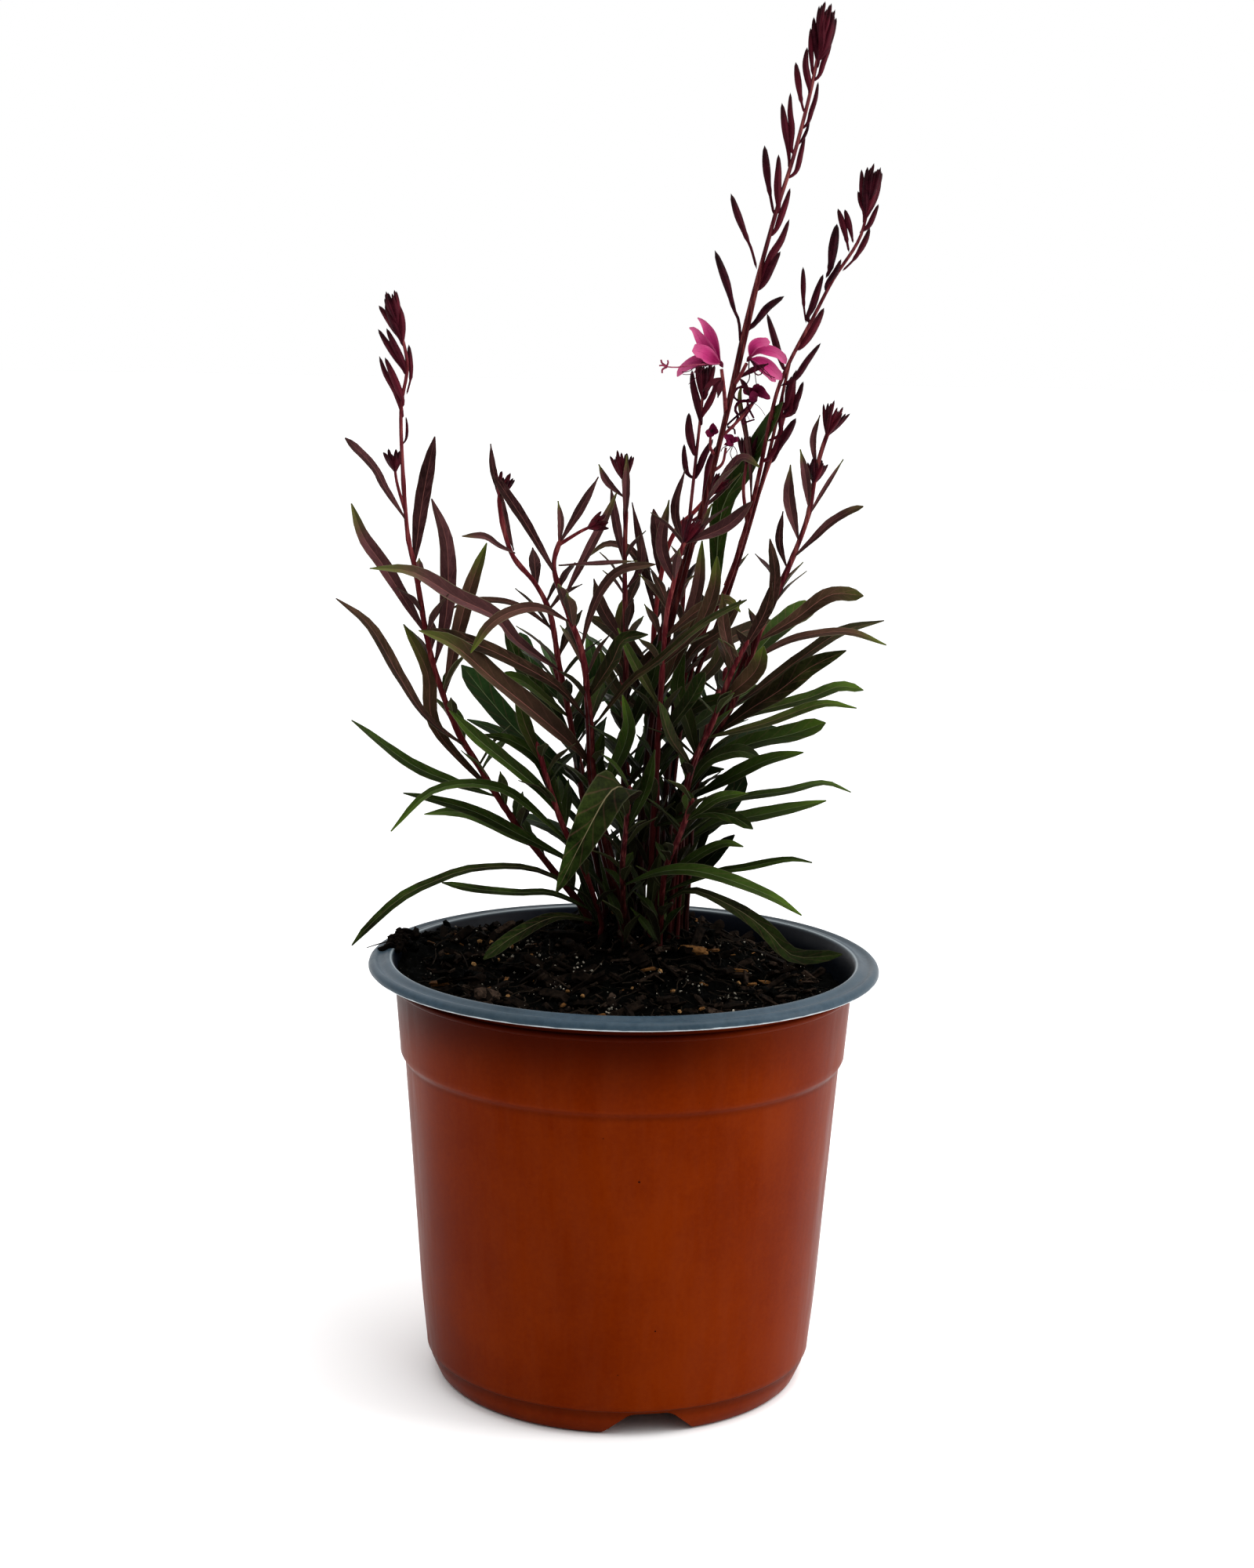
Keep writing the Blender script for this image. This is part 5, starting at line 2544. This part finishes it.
def smooth_share(profile: Profile, s: np.ndarray, foot: float = 0.05) -> np.ndarray:
    """A blade's half width at shares s, as a smooth curve through its profile.

    Args:
        profile: Half widths by shares of the length.
        s: Shares of its length.
        foot: The half width at the foot.

    Returns:
        The half widths, as shares of the widest.
    """
    marks = np.array([(0.0, foot), *profile, (1.0, 0.0)])
    slopes = np.gradient(marks[:, 1], marks[:, 0])
    slopes[-1] = TIP_SLOPE
    i = np.clip(np.searchsorted(marks[:, 0], s, side="right") - 1, 0, len(marks) - 2)
    x0, y0, x1, y1 = marks[i, 0], marks[i, 1], marks[i + 1, 0], marks[i + 1, 1]
    gap = x1 - x0
    t = (s - x0) / gap
    bend = (2 * t**3 - 3 * t**2 + 1) * y0 + (t**3 - 2 * t**2 + t) * gap * slopes[i]
    return np.maximum(bend + (3 * t**2 - 2 * t**3) * y1 + (t**3 - t**2) * gap * slopes[i + 1], 0.0)


@dataclass
class Foliage:
    """How leaves are shaped, in millimetres and shares of their half width."""

    runs: int = 16
    rows: int = 6
    thick: float = 0.34
    fold: float = 0.42
    wave: float = 0.1
    tooth: float = 0.03
    least: float = 0.22
    blunt_share: float = 0.3
    twist: float = 0.55

    def __post_init__(self) -> None:
        """Models the blade that all leaves are copied from."""
        self.pattern = blade_pattern(self.runs, self.rows)
        self.uv = spread_out(self.pattern)

    def profile(self, blade: Blade, draw: Draw) -> Profile:
        """The outline that a leaf is drawn with; a long one's is blunt or drawn out by chance.

        Args:
            blade: The leaf.
            draw: Draws the next random number.

        Returns:
            Half widths by shares of the length.
        """
        if blade.profile is not LONG_BLADE:
            return blade.profile
        chosen = BLUNT_BLADE if draw() < self.blunt_share else DRAWN_BLADE
        return BENT_BLADE if blade.broad else chosen

    def points(self, blade: Blade, draw: Draw) -> np.ndarray:
        """One leaf's points: folded along the rib, waved at the margins and a little twisted.

        Args:
            blade: The leaf.
            draw: Draws the next random number.

        Returns:
            The points, in millimetres.
        """
        p = self.pattern.points
        s, side, over = p[:, 0], p[:, 1], p[:, 2]
        across, out = frame_along(blade.way, s, blade.facing)
        side = np.sign(side) * np.abs(side) ** 1.5
        outline = smooth_share(self.profile(blade, draw), s)
        tooth = 1 + self.tooth * np.sin(s * (24 + 12 * draw()) + 6 * draw()) * (outline > 0.4)
        wider = np.interp(blade.half, (1.2, 2.6, 4.2), (1.06, 1.08, 0.98))
        if blade.half < WIDE_HALF:
            wider *= np.interp(blade.way.at(0.5)[2], (250, 285), (1, 0.88))
        reach = np.maximum(blade.half * wider * outline * tooth, self.least)
        fold = self.fold * (0.35 + 0.9 * draw()) * (1 - 0.45 * s)
        phase = s * (7 + 5 * draw()) + FULL_TURN * draw() + 1.2 * np.sign(side)
        lift = reach * (fold * np.abs(side) ** 1.2 + self.wave * np.sin(phase) * side**2)
        rib = -0.22 * (1 - s) * np.exp(-((side / 0.16) ** 2)) * np.where(over < 0, 1.6, 0.5)
        skin = over * self.thick * (1 - 0.55 * np.abs(side) ** 3)
        twist = (draw() - 0.5) * self.twist * s
        turned = across * np.cos(twist)[:, None] + out * np.sin(twist)[:, None]
        raised = out * np.cos(twist)[:, None] - across * np.sin(twist)[:, None]
        return blade.way.at(s) - turned * (reach * side)[:, None] + raised * (lift + rib + skin)[:, None]

    def add(self, cluster: Cluster, blade: Blade, tone: float, draw: Draw) -> None:
        """Adds one leaf to a cluster, with its tone, its chance and its under side marked.

        Args:
            cluster: Where it is added.
            blade: The leaf.
            tone: How green it is.
            draw: Draws the next random number.
        """
        points = self.points(blade, draw)
        under = self.pattern.points[:, 2] < 0
        shaded = blade.way.at(1)[2] < LOW_TIP or blade.broad
        chance = draw() * (0 if shaded else 1)
        same = np.ones(len(points))
        mark = np.stack([same * tone, same * chance, under, same], axis=1)
        cluster.add(self.pattern, points, self.uv, mark)


@dataclass
class LeafyStem:
    """One stem with its stalk, leaves and buds."""

    stem: Stem
    foliage: Foliage
    stalk_pattern: Pattern
    twig_pattern: Pattern
    bud: Pattern
    number: int
    lance: Profile = (
        (0, 0.4), (0.16, 0.6), (0.34, 0.94), (0.5, 1.0), (0.7, 0.88), (0.88, 0.58), (0.96, 0.36), (1, 0),
    )
    crease: float = 38.0
    swelling: float = 0.18
    ridge: float = 0.07

    @property
    def green(self) -> bool:
        """Whether it is one of the green shoots at the back."""
        return self.stem.node in GREEN_SHOOTS

    @property
    def spiked(self) -> bool:
        """Whether it ends in a spike of buds."""
        return self.stem.node in SPIKES

    def tone(self, blade: Blade, draw: Draw) -> float:
        """How green a leaf is, from -1 for mauve to 1: the low ones and those at the back are.

        Args:
            blade: The leaf.
            draw: Draws the next random number.

        Returns:
            The tone.
        """
        if self.green:
            return 0.85 + 0.15 * draw()
        middle = float(seen_height(blade.way.at(0.6)))
        low = min(max((290 - middle) / 95, 0), 1)
        tip = blade.way.at(1)
        if blade.half > WIDE_HALF and tip[0] > 30:
            return 0.9
        if blade.broad or tip[2] < LOW_TIP:
            return 0.58
        redder = min(max((middle - 232) / 50, 0), 1)
        if tip[0] < -62 and tip[2] > 240:
            redder += 0.5
        return min(max(0.9 * low - redder + 0.6 * (draw() - 0.4), -1), 1)

    def girth(self, s: np.ndarray) -> np.ndarray:
        """The stalk's radius, tapering to its end and swollen where leaves leave it.

        Args:
            s: Shares of its length.

        Returns:
            The radii, in millimetres.
        """
        row, way = self.stem.row, self.stem.way
        starts = [leaf.way.at(0) for leaf in self.stem.leaves]
        joints = [float(np.argmin(np.linalg.norm(way.dots - start, axis=1))) for start in starts]
        joints = np.array(joints or [0.0]) / (len(way.dots) - 1)
        slope = SPIKES.get(row.node, ROD_END) - SLENDER * row.radius
        base = row.radius * np.interp(s, (0, 0.2), (0.92, SLENDER)) + slope * s
        far = np.abs(s[:, None] - joints[None]) * way.length / 2.0
        end = np.sqrt(np.clip((1.0 - s) * way.length / 1.2, 0.05, 1))
        return (base + self.swelling * np.exp(-(far**2)).max(axis=1)) * end

    def companions(self) -> list[Course]:
        """Thin stalks that grow up close beside a strong one and end at its joints.

        Returns:
            Their courses.
        """
        row, way = self.stem.row, self.stem.way
        if row.radius < 1.45 or abs(way.at(0.4)[0] - 6) > 22:
            return []
        draw = seeded(Seed.COMPANIONS.value + 7 * self.number)
        found = []
        for end in (0.5, 0.78):
            turn = FULL_TURN * draw()
            aside = np.array([math.cos(turn), math.sin(turn), 0.0]) * (1.5 * row.radius + 1.2 * draw())
            shares = np.linspace(0, end, 6)
            places = [way.at(t) + aside * (1 - (t / end) ** 3) * (0.6 + 0.8 * t) for t in shares]
            found.append(Course(places, 40))
        return found

    def stalk(self) -> None:
        """The stalk with its companions and twigs."""
        row = self.stem.row
        cluster = Cluster()
        uv = wrapped(self.stalk_pattern)
        red = 1.0 if row.node == "stem_red_arching" else 0.12 * (self.number % 3)
        points = tube(self.stalk_pattern, self.stem.way, self.girth)
        cluster.add(self.stalk_pattern, points, uv, (red, self.spiked, 0, 1))
        for way in self.companions():
            points = tube(self.stalk_pattern, way, tapered(0.72 * row.radius, 0.55))
            cluster.add(self.stalk_pattern, points, uv * (0.7, 1), (red * 0.6, 0, 0, 1))
        uv = wrapped(self.twig_pattern) * (0.4, 1) + (0.6, 0)
        for twig, thick in self.stem.twigs:
            points = tube(self.twig_pattern, twig, tapered(0.86 * thick, 0.25))
            cluster.add(self.twig_pattern, points, uv, (0.3, self.spiked, 0, 1))
        finished(cluster.build(f"{row.node}_stalk", self.crease), RED_STALK, Slot.STALK, [row.node])

    def leaves(self) -> None:
        """The stem's leaves."""
        draw = seeded(Seed.LEAVES.value + 29 * self.number)
        cluster = Cluster()
        for leaf in self.stem.leaves:
            self.foliage.add(cluster, leaf, self.tone(leaf, draw), draw)
        finish, slot = (GREEN_LEAF, Slot.GREEN) if self.green else (BRONZE_LEAF, Slot.BRONZE)
        finished(cluster.build(f"{self.stem.node}_leaves", 50), finish, slot, [self.stem.node])

    def stations(self, neck: float) -> np.ndarray:
        """A bud's radii along it: a thin stalk up to its neck, and a spindle that ends in a point.

        Args:
            neck: The share of its length up to its neck, or 0.

        Returns:
            A radius, as a share of the widest, for each station.
        """
        if not neck:
            return np.array(self.lance)
        stalk = [(0, 0.34), (neck - 0.06, 0.38), (neck, 0.68), (neck + 0.04, 0.6)]
        return np.array([*stalk, *((neck + (1 - neck) * s, r) for s, r in self.lance[2:])])

    def buds(self) -> None:
        """The buds of the spikes, the bracts of the tufts and the folded sepals."""
        if not self.stem.buds:
            return
        draw = seeded(Seed.BUDS.value + 31 * self.number)
        cluster = Cluster()
        uv = wrapped(self.bud)
        ridge = 1 + self.ridge * np.cos(4 * np.arctan2(self.bud.points[:, 2], self.bud.points[:, 1]))
        for one in self.stem.buds:
            marks = self.stations(one.neck)
            radii = one.thick * (0.92 + 0.16 * draw()) * np.interp(self.bud.points[:, 0], *marks.T) * ridge
            mark = (0.3 if self.spiked else 0.6, draw(), 0, 1)
            cluster.add(self.bud, tube(self.bud, one.way, radii[:, None]), uv, mark)
        for sepal in self.stem.sepals:
            self.foliage.add(cluster, sepal, 0.2, draw)
        finished(cluster.build(f"{self.stem.node}_buds", 60), BUD_SKIN, Slot.BUD, [self.stem.node])

    def build(self) -> None:
        """Builds and dresses the stem's pieces."""
        self.stalk()
        self.leaves()
        self.buds()


@dataclass
class Flower:
    """A bloom: petals on a small heart, with stamens and a style, or what is left of one."""

    bloom: Bloom
    petal_pattern: Pattern
    thread: Pattern
    bud: Pattern
    number: int
    style_threads: int = 5

    @property
    def withered(self) -> bool:
        """Whether it has lost its stamens."""
        return not self.bloom.stamens

    def petal_points(self, shape: tuple, draw: Draw) -> np.ndarray:
        """One petal's points: clawed, cupped and with a waved margin.

        Args:
            shape: Its half width, its bluntness and its points.
            draw: Draws the next random number.

        Returns:
            The points, in millimetres.
        """
        half, blunt, points = shape
        p = self.petal_pattern.points
        s, side, over = p[:, 0], p[:, 1], p[:, 2]
        way = Course([self.bloom.core, *(seen(x, z, y) for x, z, y in points)], 24)
        across, out = frame_along(way, s, self.bloom.petals[0].facing)
        ends = ((0.8, 0.62 + 0.3 * blunt), (0.93, 0.3 + 0.62 * blunt))
        outline = smooth_share(((0.08, 0.2), (0.22, 0.58), (0.42, 0.96), (0.58, 1.0), *ends), s, 0.12)
        reach = np.maximum(half * outline, 0.16)
        cup = 0.2 + 0.14 * draw()
        waves = np.sin(s * 9 + FULL_TURN * draw() + side * 2.2) * np.abs(side)
        lift = reach * (cup * side**2 + (0.5 if self.withered else 0.08) * waves) + over * 0.2
        return way.at(s) - across * (reach * side)[:, None] + out * lift[:, None]

    def heart(self, cluster: Cluster) -> None:
        """Adds the small heart that the petals stand on.

        Args:
            cluster: Where it is added.
        """
        core, thick = self.bloom.core, self.bloom.row.core
        towards = unit(core - self.bloom.petals[0].way.at(1))
        s = np.clip(self.bud.points[:, :1], 0, 1)
        way = Course([core + towards * thick, core - towards * thick], 4)
        points = tube(self.bud, way, thick * 0.5 * np.sin(np.pi * s))
        cluster.add(self.bud, points, wrapped(self.bud) * (1, 0) + (0, 0.5), (0, 1.0, 0, 1))

    def threads(self, cluster: Cluster, rose: Cluster, draw: Draw) -> None:
        """Adds the stamens and what hangs from the bloom, and the parts of its style to the other.

        Args:
            cluster: Where the stamens are added.
            rose: Where the style is added.
            draw: Draws the next random number.
        """
        row = self.bloom.row
        uv = wrapped(self.thread) * (1, 0) + (0, 0.5)
        for number, (thick, places) in enumerate(row.threads):
            ends = [seen(x, z, y) for x, z, y in places]
            styled = row.node == "bloom_left" and number < self.style_threads
            if not styled or number == 0:
                ends.insert(0, self.bloom.core)
            points = tube(self.thread, Course(ends, 24), tapered(thick, 0.25))
            (rose if styled else cluster).add(self.thread, points, uv, (0, draw(), 0, 1))

    def build(self) -> None:
        """Builds and dresses the bloom's pieces."""
        row = self.bloom.row
        draw = seeded(Seed.BLOOMS.value + 17 * self.number)
        slot, finish = (Slot.WITHERED, WITHERED) if self.withered else (Slot.PETAL, PETAL)
        petals, heart, style = Cluster(), Cluster(), Cluster()
        uv = spread_out(self.petal_pattern)
        for shape in row.shapes:
            petals.add(self.petal_pattern, self.petal_points(shape, draw), uv, (0, draw(), 0, 1))
        self.heart(heart)
        self.threads(heart, style, draw)
        parts = (("petals", petals, finish), ("heart", heart, STAMEN), ("style", style, STYLE))
        for label, cluster, skin in parts:
            if cluster.count:
                finished(cluster.build(f"{row.node}_{label}", 60), skin, slot, [row.node])


@dataclass
class Studio:
    """A plain pale floor and soft light, seen from the photograph's angle."""

    pitch: float = 9.62
    roll: float = 1.026
    lens: float = 56.4
    front: float = 0.22
    overhead: float = 1.1
    left: float = 0.33
    lamps: Rows = (
        ("key", (0.72, -0.5, 1.9), (1.4, 1.0), 17),
        ("left", (-1.4, 0.5, 0.7), (0.5, 1.4), 1),
        ("right", (1.5, -0.3, 0.7), (0.6, 1.4), 15),
    )

    def camera(self) -> None:
        """The camera, at the eye that the plant is given for."""
        data = bpy.data.cameras.new("camera")
        data.lens = self.lens
        data.sensor_width = 36
        data.clip_start, data.clip_end = 0.05, 200
        camera = bpy.data.objects.new("camera", data)
        pitch = Matrix.Rotation(math.radians(90 - self.pitch), 4, "X")
        turn = pitch @ Matrix.Rotation(math.radians(self.roll), 4, "Z")
        camera.matrix_world = Matrix.Translation(Vector(EYE * MM)) @ turn
        bpy.context.scene.collection.objects.link(camera)
        bpy.context.scene.camera = camera

    def lamp(self, name: str, place: tuple, size: tuple[float, float], power: float) -> None:
        """A soft box that looks at the plant.

        Args:
            name: Its name.
            place: Where it stands, in metres.
            size: Its width and height, in metres.
            power: Its power in watts.
        """
        data = bpy.data.lights.new(name, "AREA")
        data.shape = "RECTANGLE"
        data.size, data.size_y = size
        data.energy = power
        lamp = bpy.data.objects.new(name, data)
        lamp.location = place
        lamp.rotation_euler = (Vector((0, 0, 0.2)) - lamp.location).to_track_quat("-Z", "Y").to_euler()
        bpy.context.scene.collection.objects.link(lamp)

    def surroundings(self) -> None:
        """A white backdrop all round, dimmer behind the camera so that colours stay deep."""
        world = bpy.data.worlds.new("surroundings")
        world.use_nodes = True
        w = Wiring(world.node_tree)
        aside, depth, height = w.split(w.add("TexCoord").outputs["Generated"])
        behind = w.ease(depth, -0.75, 0.35, self.front, 1.0)
        above = w.ease(height, 0.25, 0.9, 0.0, self.overhead)
        light = w.times(w.plus(behind, above), w.ease(aside, -0.95, -0.4, self.left, 1.0))
        background = world.node_tree.nodes["Background"].inputs
        world.node_tree.links.new(light, background["Strength"])
        background["Color"].default_value = (1, 1, 1, 1)
        bpy.context.scene.world = world

    def floor(self) -> None:
        """A wide round floor, pale and matt."""
        circle = bpy.ops.mesh.primitive_circle_add
        floor = primitive("floor", circle, vertices=96, radius=60, fill_type="NGON")
        material = bpy.data.materials.new("floor")
        material.use_nodes = True
        shader = material.node_tree.nodes["Principled BSDF"].inputs
        shader["Base Color"].default_value = (0.93, 0.93, 0.93, 1)
        shader["Roughness"].default_value = 1.0
        shader["Specular IOR Level"].default_value = 0.0
        floor.data.materials.append(material)

    def build(self) -> None:
        """Sets the floor, the lights and the surroundings."""
        self.floor()
        for lamp in self.lamps:
            self.lamp(*lamp)
        self.surroundings()
        bpy.context.scene.view_settings.view_transform = "Standard"


def main() -> None:
    """Builds the studio, the pot, its soil, the stems and the blooms."""
    studio = Studio()
    studio.camera()
    Pot().build()
    Soil().build()
    growth = Growth()
    log.info("grown: %d leaves", sum(len(stem.leaves) for stem in growth.stems))
    foliage = Foliage()
    stalk, twig, bud = rod_pattern(9, 100), rod_pattern(7, 10), bud_pattern(8, 14)
    for number, stem in enumerate(growth.stems):
        LeafyStem(stem, foliage, stalk, twig, bud, number).build()
    petal, thread = blade_pattern(14, 8), rod_pattern(5, 12)
    for number, bloom in enumerate(growth.blooms):
        Flower(bloom, petal, thread, bud, number).build()
    studio.build()


if __name__ == "__main__":
    main()
